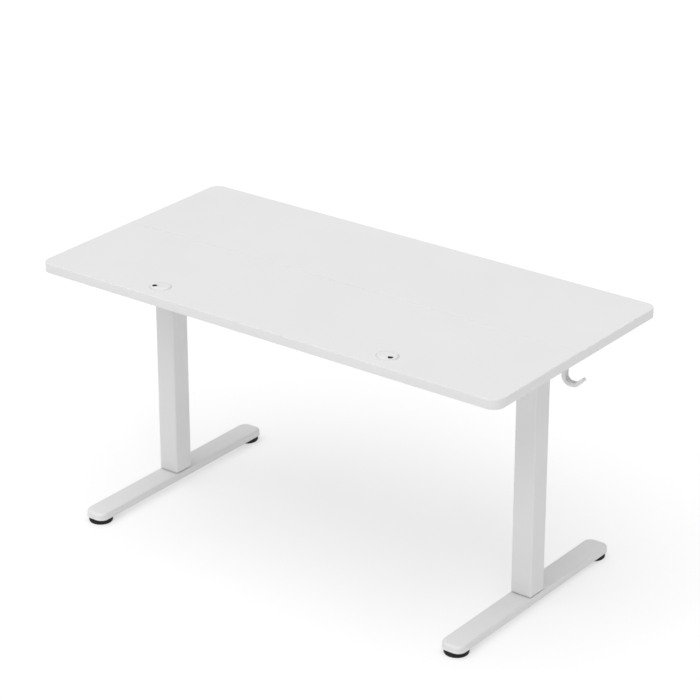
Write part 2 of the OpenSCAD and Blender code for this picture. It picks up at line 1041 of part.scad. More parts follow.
worm_shaft(-1);  // left_worm_shaft
worm_shaft(1);  // right_worm_shaft
column_inner_tube(-1);  // left_inner_tube
column_inner_tube(1);  // right_inner_tube
upper_glides(-1);  // left_upper_glides
upper_glides(1);  // right_upper_glides
screw_nut(-1);  // left_screw_nut
screw_nut(1);  // right_screw_nut
foot(-1);  // left_foot
foot(1);  // right_foot
foot_bolts(-1);  // left_foot_bolts
foot_bolts(1);  // right_foot_bolts
pad(-1, -1);  // left_front_pad
pad(-1, 1);  // left_rear_pad
pad(1, -1);  // right_front_pad
pad(1, 1);  // right_rear_pad
control_box_case();
control_box_base();
control_board();
mains_inlet();
handset_case();
handset_window();
handset_key(0);  // memory_key_1
handset_key(1);  // memory_key_2
handset_key(2);  // memory_key_3
handset_key(3);  // down_key
handset_key(4);  // up_key
motor_leads();
handset_lead();
lead_clips();
headphone_hook();
fasteners();
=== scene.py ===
"""Height adjustable standing desk: looks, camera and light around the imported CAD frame.

Everything is in metres, in the frame's own axes: +X to the seated user's right, -Y towards the user, +Z up.
"""
import json
import math

import bmesh
import bpy
from mathutils import Matrix, Vector, geometry


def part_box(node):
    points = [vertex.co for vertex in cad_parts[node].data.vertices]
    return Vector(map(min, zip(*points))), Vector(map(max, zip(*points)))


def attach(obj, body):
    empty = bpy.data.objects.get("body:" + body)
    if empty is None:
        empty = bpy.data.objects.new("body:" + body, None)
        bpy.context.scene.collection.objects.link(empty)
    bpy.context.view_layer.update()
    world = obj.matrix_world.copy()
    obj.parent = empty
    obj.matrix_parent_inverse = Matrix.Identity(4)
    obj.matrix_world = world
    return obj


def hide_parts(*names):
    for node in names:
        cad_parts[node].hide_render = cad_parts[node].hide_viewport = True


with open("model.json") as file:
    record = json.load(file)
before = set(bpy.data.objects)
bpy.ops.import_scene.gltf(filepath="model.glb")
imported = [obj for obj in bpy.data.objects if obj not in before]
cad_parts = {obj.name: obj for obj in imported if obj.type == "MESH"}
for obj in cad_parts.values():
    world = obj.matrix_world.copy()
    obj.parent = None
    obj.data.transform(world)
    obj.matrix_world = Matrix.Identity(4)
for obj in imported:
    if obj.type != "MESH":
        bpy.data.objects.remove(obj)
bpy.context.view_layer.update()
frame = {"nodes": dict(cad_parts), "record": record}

MM = 0.001
SIDES = ("left", "right")
SIDE_SIGN = {"left": -1, "right": 1}

# ---- camera, light and floor

VIEW_AZIMUTH = 217.05
VIEW_ELEVATION = 23.98
VIEW_DISTANCE = 7.377
VIEW_TARGET = Vector((0.2349, -0.3378, 0.350))
LENS = 141.5
FLOOR_RADIUS = 60
ZENITH_LIGHT = 0.98
HORIZON_LIGHT = 0.42
SHADE_SIDE = 0.50
FLOOR_COLOUR = 0.45
FLOOR_GLOW = 0.52


def towards(azimuth, elevation):
    """Unit vector from the object to a viewer at that azimuth and elevation, in degrees."""
    a, e = math.radians(azimuth), math.radians(elevation)
    return Vector((math.sin(a) * math.cos(e), -math.cos(a) * math.cos(e), math.sin(e)))


def aim(obj, target):
    """Turns a camera or light so that it looks at the target."""
    obj.rotation_euler = (Vector(target) - obj.location).to_track_quat("-Z", "Y").to_euler()


def make_camera():
    data = bpy.data.cameras.new("camera")
    data.lens = LENS
    data.sensor_width = 36
    data.clip_end = 200
    camera = bpy.data.objects.new("camera", data)
    bpy.context.scene.collection.objects.link(camera)
    camera.location = VIEW_TARGET + VIEW_DISTANCE * towards(VIEW_AZIMUTH, VIEW_ELEVATION)
    aim(camera, VIEW_TARGET)
    bpy.context.scene.camera = camera


def soft_sun(name, azimuth, elevation, spread, power):
    """Wide distant light: as bright at the far floor as at the desk."""
    data = bpy.data.lights.new(name, "SUN")
    data.angle = math.radians(spread)
    data.energy = power
    light = bpy.data.objects.new(name, data)
    bpy.context.scene.collection.objects.link(light)
    light.location = 5 * towards(azimuth, elevation)
    aim(light, (0, 0, 0))


def make_studio():
    scene = bpy.context.scene
    scene.view_settings.view_transform = "Standard"
    world = bpy.data.worlds.new("studio")
    scene.world = world
    world.use_nodes = True
    tree = world.node_tree
    way = tree.nodes.new("ShaderNodeSeparateXYZ")
    tree.links.new(tree.nodes.new("ShaderNodeTexCoord").outputs["Generated"], way.inputs[0])
    strength = None
    for axis, low, high in (("Z", HORIZON_LIGHT, ZENITH_LIGHT), ("X", SHADE_SIDE, 1.0)):
        ramp = tree.nodes.new("ShaderNodeMapRange")
        tree.links.new(way.outputs[axis], ramp.inputs["Value"])
        ramp.inputs["From Min"].default_value = 0 if axis == "Z" else -1
        ramp.inputs["To Min"].default_value = low
        ramp.inputs["To Max"].default_value = high
        if strength is None:
            strength = ramp.outputs["Result"]
        else:
            product = tree.nodes.new("ShaderNodeMath")
            product.operation = "MULTIPLY"
            tree.links.new(strength, product.inputs[0])
            tree.links.new(ramp.outputs["Result"], product.inputs[1])
            strength = product.outputs["Value"]
    tree.nodes["Background"].inputs["Color"].default_value = (1, 1, 1, 1)
    tree.links.new(strength, tree.nodes["Background"].inputs["Strength"])
    soft_sun("key", azimuth=180, elevation=72, spread=70, power=1.68)
    soft_sun("corner", azimuth=224, elevation=22, spread=25, power=0.36)


def make_floor():
    mesh = bpy.data.meshes.new("floor")
    count = 64
    mesh.from_pydata([(FLOOR_RADIUS * math.cos(2 * math.pi * i / count),
                       FLOOR_RADIUS * math.sin(2 * math.pi * i / count), 0) for i in range(count)],
                     [], [list(range(count))])
    floor = bpy.data.objects.new("floor", mesh)
    bpy.context.scene.collection.objects.link(floor)
    material = bpy.data.materials.new("floor_paper")
    material.use_nodes = True
    shader = material.node_tree.nodes["Principled BSDF"]
    shader.inputs["Base Color"].default_value = (FLOOR_COLOUR, FLOOR_COLOUR, FLOOR_COLOUR, 1)
    shader.inputs["Roughness"].default_value = 0.95
    shader.inputs["Specular IOR Level"].default_value = 0.1
    shader.inputs["Emission Color"].default_value = (1, 1, 1, 1)
    shader.inputs["Emission Strength"].default_value = FLOOR_GLOW
    mesh.materials.append(material)


# ---- materials


class Finish:
    """Material whose colour, roughness and bump are built up layer by layer from procedural masks."""

    def __init__(self, name, colour, roughness, metallic=0.0, **settings):
        self.material = bpy.data.materials.new(name)
        self.material.use_nodes = True
        self.tree = self.material.node_tree
        self.shader = self.tree.nodes["Principled BSDF"]
        self.shader.inputs["Metallic"].default_value = metallic
        for socket, value in settings.items():
            self.shader.inputs[socket.replace("_", " ")].default_value = value
        self.place = self.add("ShaderNodeTexCoord").outputs["Object"]
        self.colour = (*colour, 1)
        self.roughness = roughness
        self.normal = None

    def add(self, kind, inputs=None, **props):
        node = self.tree.nodes.new(kind)
        for key, value in props.items():
            setattr(node, key, value)
        for key, value in (inputs or {}).items():
            if isinstance(value, bpy.types.NodeSocket):
                self.tree.links.new(value, node.inputs[key])
            else:
                node.inputs[key].default_value = value
        return node

    def coordinates(self, stretch):
        if stretch == (1, 1, 1):
            return self.place
        return self.add("ShaderNodeMapping", {"Vector": self.place, "Scale": stretch}).outputs["Vector"]

    def noise(self, scale, detail=2.0, stretch=(1, 1, 1), distortion=0.0):
        return self.add("ShaderNodeTexNoise", {
            "Vector": self.coordinates(stretch), "Scale": scale, "Detail": detail,
            "Distortion": distortion}).outputs["Fac"]

    def cells(self, scale, output="Distance", feature="F1", stretch=(1, 1, 1)):
        return self.add("ShaderNodeTexVoronoi", {
            "Vector": self.coordinates(stretch), "Scale": scale}, feature=feature).outputs[output]

    def between(self, value, low, high):
        """Mask that rises from 0 to 1 as value goes from low to high."""
        return self.add("ShaderNodeMapRange", {
            "Value": value, "From Min": low, "From Max": high}, clamp=True).outputs["Result"]

    def patches(self, low, high, scale, detail=2.0, **how):
        """Mask of soft patches of noise, between two levels of it."""
        return self.between(self.noise(scale, detail, **how), low, high)

    def product(self, a, b):
        return self.add("ShaderNodeMath", {0: a, 1: b}, operation="MULTIPLY").outputs["Value"]

    def edges(self, width):
        """Mask of convex and concave edges, broken up by noise."""
        rounded = self.add("ShaderNodeBevel", {"Radius": width}, samples=4).outputs["Normal"]
        flat = self.add("ShaderNodeNewGeometry").outputs["Normal"]
        same = self.add("ShaderNodeVectorMath", {0: rounded, 1: flat},
                        operation="DOT_PRODUCT").outputs["Value"]
        edge = self.add("ShaderNodeMath", {0: 1.0, 1: same}, operation="SUBTRACT").outputs["Value"]
        return self.product(self.between(edge, 0.02, 0.25), self.patches(0.38, 0.62, 140, 4))

    def tint(self, mask, colour, amount=1.0):
        factor = self.product(mask, amount) if amount != 1.0 else mask
        mix = self.add("ShaderNodeMix", {0: factor, 6: self.colour, 7: (*colour, 1)}, data_type="RGBA")
        self.colour = mix.outputs[2]

    def polish(self, mask, roughness):
        self.roughness = self.add("ShaderNodeMix", {0: mask, 2: self.roughness, 3: roughness},
                                  data_type="FLOAT").outputs[0]

    def relief(self, height, depth):
        inputs = {"Height": height, "Distance": depth, "Strength": 1.0}
        if self.normal is not None:
            inputs["Normal"] = self.normal
        self.normal = self.add("ShaderNodeBump", inputs).outputs["Normal"]

    def done(self):
        layers = (("Base Color", self.colour), ("Roughness", self.roughness), ("Normal", self.normal))
        for key, value in layers:
            if isinstance(value, bpy.types.NodeSocket):
                self.tree.links.new(value, self.shader.inputs[key])
            elif value is not None:
                self.shader.inputs[key].default_value = value
        return self.material


def grey(value):
    return (value, value, value)


MATERIALS = {}


def material(colour, roughness, label=None, **settings):
    """Makes a material of the decorated function's name, and has the function lay its layers on it."""
    def make(layers):
        finish = Finish(label or layers.__name__, colour, roughness, **settings)
        layers(finish)
        MATERIALS[layers.__name__] = finish.done()
        return layers
    return make


@material(grey(0.735), 0.40)
def white_laminate(m):
    m.tint(m.patches(0.30, 0.70, 5, 4), grey(0.72))
    m.tint(m.patches(0.66, 0.74, 2600, 1), grey(0.60), 0.5)
    m.polish(m.patches(0.42, 0.66, 8, 5, distortion=0.6), 0.33)
    m.relief(m.noise(1100, 3), 0.035 * MM)
    m.relief(m.cells(620), 0.012 * MM)
    m.relief(m.noise(9, 2), 0.10 * MM)


# Edge band: its grey is set darker than the laminate's as painted shade on the board's sides.
@material(grey(0.68), 0.36)
def edge_band(m):
    m.tint(m.patches(0.3, 0.7, 40, 3), grey(0.665))
    # Painted highlight: the rounded edges are tinted lighter than the band.
    m.tint(m.edges(1.6 * MM), grey(0.86), 0.6)
    m.polish(m.patches(0.45, 0.65, 24, 4), 0.28)
    m.polish(m.edges(2.2 * MM), 0.24)
    m.relief(m.noise(90, 2, stretch=(0.1, 0.1, 16)), 0.03 * MM)
    m.relief(m.noise(1400, 2), 0.02 * MM)


@material(grey(0.56), 0.6)
def seam_painted_shade(m):
    """Edge of a board inside the seam, darkened as painted shade for the shadow in the seam's gap."""
    m.tint(m.patches(0.40, 0.65, 120, 4, stretch=(0.3, 1, 1)), grey(0.48))
    m.relief(m.noise(900, 3), 0.04 * MM)


@material(grey(0.60), 0.62)
def backing_paper(m):
    """Matt balancing layer under the boards."""
    m.tint(m.patches(0.35, 0.68, 4, 5), grey(0.565))
    m.tint(m.patches(0.56, 0.72, 900, 2, stretch=(0.15, 1, 1)), grey(0.50), 0.5)
    m.relief(m.noise(800, 3), 0.05 * MM)
    m.relief(m.noise(12, 2), 0.08 * MM)


@material((0.50, 0.36, 0.21), 0.9)
def chipboard(m):
    m.tint(m.patches(0.40, 0.60, 260, 2), (0.66, 0.52, 0.34))
    m.tint(m.between(m.cells(420, stretch=(1, 1, 2.4)), 0.10, 0.45), (0.32, 0.21, 0.11), 0.55)
    m.relief(m.cells(420, stretch=(1, 1, 2.4)), 0.4 * MM)
    m.relief(m.noise(900, 3), 0.15 * MM)


@material(grey(0.72), 0.44)
def white_powder_coat(m):
    m.tint(m.patches(0.3, 0.7, 7, 3), grey(0.705))
    m.tint(m.patches(0.68, 0.75, 1900, 1), grey(0.56), 0.5)
    # Painted highlight: rounded corners and edges are tinted lighter than the coat.
    m.tint(m.edges(2.0 * MM), grey(0.79), 0.7)
    m.polish(m.patches(0.42, 0.66, 14, 4, stretch=(1, 1, 0.25)), 0.36)
    m.polish(m.edges(2.6 * MM), 0.30)
    m.relief(m.noise(420, 2), 0.10 * MM)
    m.relief(m.noise(1700, 2), 0.03 * MM)


@material(grey(0.69), 0.34, Coat_Weight=0.2, Coat_Roughness=0.2)
def inner_tube_coat(m):
    m.tint(m.patches(0.45, 0.72, 30, 4, stretch=(1, 1, 0.05)), grey(0.635))
    m.polish(m.patches(0.50, 0.66, 160, 3, stretch=(1, 1, 0.02)), 0.24)
    m.relief(m.noise(520, 2), 0.05 * MM)
    m.relief(m.noise(300, 2, stretch=(1, 1, 0.01)), 0.012 * MM)


@material(grey(0.73), 0.46)
def white_plastic(m):
    m.tint(m.patches(0.35, 0.68, 35, 3), grey(0.705))
    m.tint(m.edges(1.2 * MM), grey(0.80), 0.5)
    m.polish(m.patches(0.50, 0.70, 60, 4), 0.38)
    m.relief(m.noise(1500, 3), 0.03 * MM)
    m.relief(m.cells(900), 0.02 * MM)


@material((0.55, 0.57, 0.60), 0.34, metallic=1.0)
def zinc_plate(m):
    m.tint(m.between(m.cells(190, output="Color"), 0.2, 0.8), (0.68, 0.70, 0.72), 0.8)
    m.tint(m.patches(0.50, 0.72, 60, 4), (0.60, 0.58, 0.46), 0.5)
    m.tint(m.patches(0.62, 0.74, 240, 5), (0.32, 0.32, 0.32), 0.5)
    m.polish(m.between(m.cells(190, output="Color"), 0.1, 0.9), 0.24)
    m.polish(m.patches(0.5, 0.7, 120, 4), 0.5)
    m.relief(m.noise(900, 3), 0.03 * MM)


@material((0.60, 0.44, 0.26), 0.75)
def birch(m):
    m.tint(m.patches(0.4, 0.62, 260, 4, stretch=(1, 0.05, 1)), (0.46, 0.31, 0.16))
    m.relief(m.noise(420, 3, stretch=(1, 0.04, 1)), 0.15 * MM)


@material((0.72, 0.70, 0.64), 0.42, Subsurface_Weight=0.08)
def acetal(m):
    m.tint(m.patches(0.35, 0.7, 50, 3), (0.66, 0.63, 0.55))
    m.polish(m.patches(0.48, 0.64, 240, 3, stretch=(1, 1, 0.06)), 0.26)
    m.relief(m.noise(700, 2, stretch=(0.2, 0.2, 1)), 0.03 * MM)


@material((0.20, 0.205, 0.215), 0.52, metallic=0.85)
def gearbox_alloy(m):
    m.tint(m.patches(0.40, 0.66, 90, 4), (0.27, 0.275, 0.285))
    m.tint(m.edges(1.8 * MM), (0.52, 0.53, 0.55), 0.8)
    m.polish(m.edges(1.8 * MM), 0.30)
    m.relief(m.noise(650, 4), 0.14 * MM)
    m.relief(m.noise(60, 3), 0.10 * MM)


@material((0.46, 0.47, 0.49), 0.32, metallic=1.0)
def motor_steel(m):
    m.tint(m.patches(0.45, 0.68, 50, 4), (0.38, 0.385, 0.40))
    m.tint(m.edges(1.5 * MM), (0.66, 0.67, 0.69), 0.7)
    m.polish(m.patches(0.40, 0.60, 420, 3, stretch=(1, 0.03, 0.03)), 0.22)
    m.polish(m.patches(0.55, 0.72, 45, 5), 0.48)
    m.relief(m.noise(900, 2, stretch=(1, 0.03, 0.03)), 0.015 * MM)


@material((0.55, 0.56, 0.58), 0.22, metallic=1.0)
def bearing_steel(m):
    m.tint(m.patches(0.5, 0.7, 120, 4), (0.42, 0.41, 0.38))
    m.polish(m.patches(0.42, 0.60, 700, 2, stretch=(0.04, 0.04, 1)), 0.14)
    m.relief(m.noise(1400, 2, stretch=(0.04, 0.04, 1)), 0.008 * MM)


@material((0.34, 0.34, 0.345), 0.30, metallic=1.0)
def screw_steel(m):
    m.tint(m.patches(0.48, 0.66, 90, 5), (0.20, 0.185, 0.15))
    m.tint(m.edges(0.8 * MM), (0.58, 0.58, 0.58), 0.7)
    m.polish(m.patches(0.45, 0.62, 70, 3), 0.12)
    m.relief(m.noise(800, 3), 0.02 * MM)


@material((0.62, 0.45, 0.19), 0.30, metallic=1.0)
def wheel_brass(m):
    m.tint(m.patches(0.46, 0.70, 130, 4), (0.42, 0.28, 0.12))
    m.tint(m.edges(0.8 * MM), (0.80, 0.62, 0.32), 0.8)
    m.polish(m.patches(0.42, 0.62, 500, 2, stretch=(0.1, 0.1, 1)), 0.20)
    m.relief(m.noise(900, 2, stretch=(0.1, 0.1, 1)), 0.02 * MM)


@material(grey(0.006), 0.66, Specular_IOR_Level=0.3)
def black_rubber(m):
    m.tint(m.patches(0.52, 0.74, 160, 5), grey(0.013))
    m.tint(m.edges(1.4 * MM), grey(0.030), 0.7)
    m.polish(m.patches(0.45, 0.68, 70, 4), 0.48)
    m.relief(m.noise(1300, 3), 0.06 * MM)


@material(grey(0.018), 0.50)
def black_plastic(m):
    m.tint(m.patches(0.50, 0.75, 40, 5), grey(0.032))
    m.tint(m.edges(1.0 * MM), grey(0.075), 0.7)
    m.polish(m.patches(0.46, 0.66, 55, 4), 0.40)
    m.relief(m.noise(1100, 3), 0.06 * MM)
    m.relief(m.cells(700), 0.04 * MM)


@material((0.010, 0.085, 0.030), 0.34, Coat_Weight=0.5, Coat_Roughness=0.15)
def circuit_board(m):
    m.tint(m.between(m.cells(170, feature="DISTANCE_TO_EDGE"), 0.10, 0.06), (0.03, 0.19, 0.07), 0.9)
    m.tint(m.between(m.cells(300), 0.16, 0.10), (0.62, 0.60, 0.56), 0.9)
    m.polish(m.patches(0.4, 0.7, 90, 3), 0.5)
    m.relief(m.cells(170, feature="DISTANCE_TO_EDGE"), 0.05 * MM)


@material((0.006, 0.006, 0.008), 0.06, Coat_Weight=0.6, Coat_Roughness=0.04)
def display(m):
    m.tint(m.patches(0.62, 0.80, 300, 5), grey(0.035), 0.6)
    m.polish(m.patches(0.50, 0.74, 160, 5), 0.18)
    m.relief(m.noise(120, 2), 0.01 * MM)


@material((0.15, 0.155, 0.16), 0.58)
def key_plastic(m):
    m.tint(m.patches(0.42, 0.70, 220, 4), (0.19, 0.195, 0.20))
    m.tint(m.edges(0.7 * MM), (0.30, 0.305, 0.31), 0.7)
    m.polish(m.patches(0.46, 0.66, 320, 3), 0.42)
    m.relief(m.noise(1700, 3), 0.04 * MM)


@material(grey(0.70), 0.5)
def key_mark(m):
    m.tint(m.patches(0.5, 0.7, 600, 3), grey(0.60))
    m.relief(m.noise(1500, 2), 0.01 * MM)


@material(grey(0.030), 0.50)
def lead_jacket(m):
    m.tint(m.patches(0.48, 0.70, 180, 4), grey(0.048))
    m.polish(m.patches(0.44, 0.66, 90, 4), 0.38)
    m.relief(m.noise(1200, 3), 0.05 * MM)


@material(grey(0.69), 0.40, label="weld_bead")
def weld_metal(m):
    m.tint(m.patches(0.46, 0.66, 240, 4), grey(0.65))
    m.polish(m.patches(0.45, 0.65, 180, 3), 0.30)
    m.relief(m.noise(520, 3), 0.12 * MM)


# ---- mesh tools

SHARP = math.radians(32)
PATH_STEPS = 6


def mesh_object(name, points, faces, indices=None):
    mesh = bpy.data.meshes.new(name)
    mesh.from_pydata([tuple(p) for p in points], [], faces)
    if indices:
        mesh.polygons.foreach_set("material_index", indices)
    obj = bpy.data.objects.new(name, mesh)
    bpy.context.scene.collection.objects.link(obj)
    return obj


def tidy(obj, sharp=SHARP):
    """Merges doubles, points every face outwards and sets smooth shading with sharp edges kept."""
    bm = bmesh.new()
    bm.from_mesh(obj.data)
    bmesh.ops.remove_doubles(bm, verts=bm.verts, dist=1e-7)
    bmesh.ops.recalc_face_normals(bm, faces=bm.faces)
    bm.to_mesh(obj.data)
    bm.free()
    obj.data.shade_smooth()
    obj.data.set_sharp_from_angle(angle=sharp)
    return obj


def apply_modifiers(obj):
    bpy.context.view_layer.update()
    graph = bpy.context.evaluated_depsgraph_get()
    mesh = bpy.data.meshes.new_from_object(obj.evaluated_get(graph), preserve_all_data_layers=True,
                                           depsgraph=graph)
    obj.modifiers.clear()
    old = obj.data
    obj.data = mesh
    bpy.data.meshes.remove(old)
    return obj


def soften(obj, width):
    """Rounds the sharp edges, and keeps the flats looking flat."""
    bevel = obj.modifiers.new("bevel", "BEVEL")
    bevel.width = width
    bevel.segments = 2
    bevel.limit_method = "ANGLE"
    bevel.angle_limit = math.radians(30)
    bevel.use_clamp_overlap = True
    bevel.harden_normals = False
    normals = obj.modifiers.new("normals", "WEIGHTED_NORMAL")
    normals.keep_sharp = True
    return apply_modifiers(obj)


def cut(obj, *cutters):
    """Takes the cutters away from the object."""
    for cutter in cutters:
        boolean = obj.modifiers.new("cut", "BOOLEAN")
        boolean.operation = "DIFFERENCE"
        boolean.solver = "EXACT"
        boolean.object = cutter
        apply_modifiers(obj)
    for cutter in cutters:
        bpy.data.objects.remove(cutter)
    return obj


def join(name, objects):
    """One object made of several."""
    bm = bmesh.new()
    for obj in objects:
        bm.from_mesh(obj.data)
    mesh = bpy.data.meshes.new(name)
    bm.to_mesh(mesh)
    bm.free()
    joined = bpy.data.objects.new(name, mesh)
    bpy.context.scene.collection.objects.link(joined)
    for obj in objects:
        bpy.data.objects.remove(obj)
    return joined


def finish_piece(obj, body, materials, replaces=()):
    """Gives the piece its materials, body and slot."""
    obj.data.materials.clear()
    for name in materials:
        obj.data.materials.append(MATERIALS[name])
    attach(obj, body)
    if replaces:
        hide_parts(*replaces)
    return obj


def drop_caps(obj):
    """Takes the end faces off a turned ring, whose profile closes on itself, and merges its seam."""
    bm = bmesh.new()
    bm.from_mesh(obj.data)
    bmesh.ops.delete(bm, geom=[f for f in bm.faces if len(f.verts) > 4], context="FACES")
    bmesh.ops.remove_doubles(bm, verts=bm.verts, dist=1e-7)
    bm.to_mesh(obj.data)
    bm.free()
    return tidy(obj)


def paint(obj, index):
    """Gives every face of the object one of its materials."""
    obj.data.polygons.foreach_set("material_index", [index] * len(obj.data.polygons))


def in_mm(*points):
    """Profile points given in millimetres."""
    return [tuple(value * MM for value in point) for point in points]


def arc(centre, radius, start, end, count):
    """Points on an arc, from start to end in degrees."""
    return [(centre[0] + radius * math.cos(math.radians(start + (end - start) * i / count)),
             centre[1] + radius * math.sin(math.radians(start + (end - start) * i / count)))
            for i in range(count + 1)]


def rounded_rect(centre, width, depth, radius, count=8):
    x, y = width / 2 - radius, depth / 2 - radius
    points = []
    for i, (sx, sy) in enumerate(((1, 1), (-1, 1), (-1, -1), (1, -1))):
        points += arc((centre[0] + sx * x, centre[1] + sy * y), radius, 90 * i, 90 * (i + 1), count)
    return points


def band(first, count):
    """Faces between a ring of points that starts at first and the ring that follows it."""
    ring = [(first + k, first + (k + 1) % count) for k in range(count)]
    return [(a, b, b + count, a + count) for a, b in ring]


def loft(name, rings, cap_start=True, cap_end=True):
    """Skin over rings of the same number of points."""
    count = len(rings[0])
    points = [p for ring in rings for p in ring]
    faces = [face for i in range(len(rings) - 1) for face in band(i * count, count)]
    for wanted, first in ((cap_start, 0), (cap_end, (len(rings) - 1) * count)):
        if wanted:
            faces.append(tuple(range(first, first + count)))
    return tidy(mesh_object(name, points, faces))


def block(name, centre, half_x, half_y, heights):
    """Upright box about a centre, between two heights."""
    x, y = centre
    outline = ((-half_x, -half_y), (half_x, -half_y), (half_x, half_y), (-half_x, half_y))
    return loft(name, [[(x + u, y + v, z) for u, v in outline] for z in heights])


def lathe(name, profile, centre, axis="Z", count=96, scale=None):
    """Turns (radius, height) points about an axis through centre. A radius of 0 closes on the axis.

    scale gives a factor on the radius at each turn, for a hole that isn't round.
    """
    rings = []
    for radius, height in profile:
        ring = []
        for k in range(count):
            turn = 2 * math.pi * k / count
            r = radius * (scale(turn) if scale else 1.0)
            u, v = r * math.cos(turn), r * math.sin(turn)
            ring.append({"Z": (u, v, height), "X": (height, u, v), "Y": (u, height, v)}[axis])
        rings.append([tuple(c + d for c, d in zip(centre, p)) for p in ring])
    return loft(name, rings)


def sweep(name, path, section, closed=False, level=None):
    """Carries a section along a path. section(i) gives (u, v) points, across and up.

    level is the direction across a path that lies in one upright plane.
    """
    rings = []
    count = len(path)
    for i, point in enumerate(path):
        point = Vector(point)
        before = Vector(path[(i - 1) % count if closed else max(0, i - 1)])
        after = Vector(path[(i + 1) % count if closed else min(count - 1, i + 1)])
        along = (after - before).normalized()
        across = level or along.cross(Vector((0, 0, 1))).normalized()
        up = across.cross(along)
        rings.append([tuple(point + across * u + up * v) for u, v in section(i)])
    if closed:
        rings.append(rings[0])
    return loft(name, rings, cap_start=not closed, cap_end=not closed)


def smooth_path(points):
    """Points on a Catmull-Rom curve through the given ones."""
    p = [Vector(q) for q in points]
    path = []
    for i in range(len(p) - 1):
        a, b, c, d = p[max(0, i - 1)], p[i], p[i + 1], p[min(len(p) - 1, i + 2)]
        for k in range(PATH_STEPS):
            t = k / PATH_STEPS
            path.append(0.5 * (2 * b + (c - a) * t + (2 * a - 5 * b + 4 * c - d) * t * t
                               + (3 * b - a - 3 * c + d) * t ** 3))
    return path + [p[-1]]


def circle(radius, count=16):
    return [(radius * math.cos(2 * math.pi * k / count), radius * math.sin(2 * math.pi * k / count))
            for k in range(count)]


def refined(node, width):
    """Stands for a CAD node with the same shape, its sharp edges rounded."""
    source = frame["nodes"][node]
    obj = bpy.data.objects.new(node + "_fine", source.data.copy())
    bpy.context.scene.collection.objects.link(obj)
    obj.data.materials.clear()
    bm = bmesh.new()
    bm.from_mesh(obj.data)
    bmesh.ops.remove_doubles(bm, verts=bm.verts, dist=1e-6)
    bmesh.ops.dissolve_limit(bm, angle_limit=math.radians(0.6), verts=bm.verts, edges=bm.edges)
    bm.to_mesh(obj.data)
    bm.free()
    obj.data.shade_smooth()
    obj.data.set_sharp_from_angle(angle=math.pi)
    paint(obj, 0)
    soften(obj, width)
    return finish_piece(obj, BODIES[node], [SLOTS[node]], [node])


BODIES = {node: body for body, nodes in frame["record"]["behaviour"]["bodies"].items() for node in nodes}
SLOTS = {part["node"]: part["material_slot"] for part in frame["record"]["subparts"]}


# ---- the worktop

TOP_LOW, TOP_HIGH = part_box("rear_board")
TOP_Z = TOP_HIGH.z
UNDER_Z = TOP_LOW.z
TOP_HALF = TOP_HIGH.x
TOP_DEPTH_HALF = TOP_HIGH.y
CORNER_R = 30 * MM
EDGE_R = 1.5 * MM
SEAM_R = 0.5 * MM
BAND = 2.6 * MM
GLUE_LINE = 0.16 * MM
GROMMET_HOLE_R = 27.2 * MM
GROMMET_X = 350 * MM
GROMMET_Y = 292 * MM
HOLE_POINTS = 64
BOARD_MATERIALS = ["white_laminate", "edge_band", "chipboard", "backing_paper", "seam_painted_shade"]
TOP_FACE, BAND_FACE, CORE_FACE, UNDER_FACE, SEAM_FACE = range(5)


def board_profile():
    """(inset outside, inset at the seam, height) from the middle of the underside round to the top."""
    steps = 5
    lower = [(BAND + 2 * GLUE_LINE, UNDER_Z), (BAND + GLUE_LINE, UNDER_Z + GLUE_LINE), (BAND, UNDER_Z)]
    for i in range(steps + 1):
        turn = math.radians(90 * i / steps)
        lower.append((EDGE_R * (1 - math.sin(turn)), UNDER_Z + EDGE_R * (1 - math.cos(turn))))
    upper = [(inset, TOP_Z + UNDER_Z - z) for inset, z in reversed(lower)]
    return [(inset, inset * SEAM_R / EDGE_R if inset <= EDGE_R else inset, z) for inset, z in lower + upper]


def board_ring(sign, seam_y, outside, seam, z):
    reach = TOP_HALF - CORNER_R
    points = [(TOP_HALF - outside, seam_y + seam)]
    points += arc((reach, TOP_DEPTH_HALF - CORNER_R), CORNER_R - outside, 0, 90, 14)
    points += arc((-reach, TOP_DEPTH_HALF - CORNER_R), CORNER_R - outside, 90, 180, 14)
    points += [(-TOP_HALF + outside, seam_y + seam)]
    return [(x, sign * y, z) for x, y in points]


def board(node, sign, holes):
    """One board: laminate faces, edge band all round with a fine glue line, and bare core in the holes."""
    low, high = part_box(node)
    seam_y = min(abs(low.y), abs(high.y))
    rings = [board_ring(sign, seam_y, *step) for step in board_profile()]
    count = len(rings[0])
    points = [p for ring in rings for p in ring]
    faces, indices = [], []
    for i in range(len(rings) - 1):
        faces += band(i * count, count)
        # The faces along the seam take the seam material, darkened as painted shade.
        indices += [BAND_FACE] * (count - 1) + [SEAM_FACE]
    hole_loops = []
    for x, y in holes:
        for z in (UNDER_Z, TOP_Z):
            hole_loops.append(len(points))
            points += [(x + u, y + v, z) for u, v in circle(GROMMET_HOLE_R, HOLE_POINTS)]
    for first in hole_loops[::2]:
        faces += band(first, HOLE_POINTS)
        indices += [CORE_FACE] * HOLE_POINTS
    for level, start in ((0, 0), (1, (len(rings) - 1) * count)):
        loops = [list(range(start, start + count))]
        loops += [list(range(first, first + HOLE_POINTS)) for first in hole_loops[level::2]]
        flat = [i for loop in loops for i in loop]
        for triangle in geometry.tessellate_polygon([[Vector(points[i]) for i in loop] for loop in loops]):
            faces.append(tuple(flat[i] for i in triangle))
            indices.append(TOP_FACE if level else UNDER_FACE)
    obj = tidy(mesh_object(node + "_fine", points, faces, indices), sharp=math.radians(40))
    finish_piece(obj, BODIES[node], BOARD_MATERIALS, [node])


# ---- cable grommets

FLANGE_R = 29 * MM
FLANGE_HEIGHT = 1.6 * MM
LID_R = 26 * MM
LID_TOP = 2.0 * MM
SLEEVE_BORE = 25 * MM
CABLE_HOLE_R = 8 * MM
TEARDROP_WAIST = 0.70


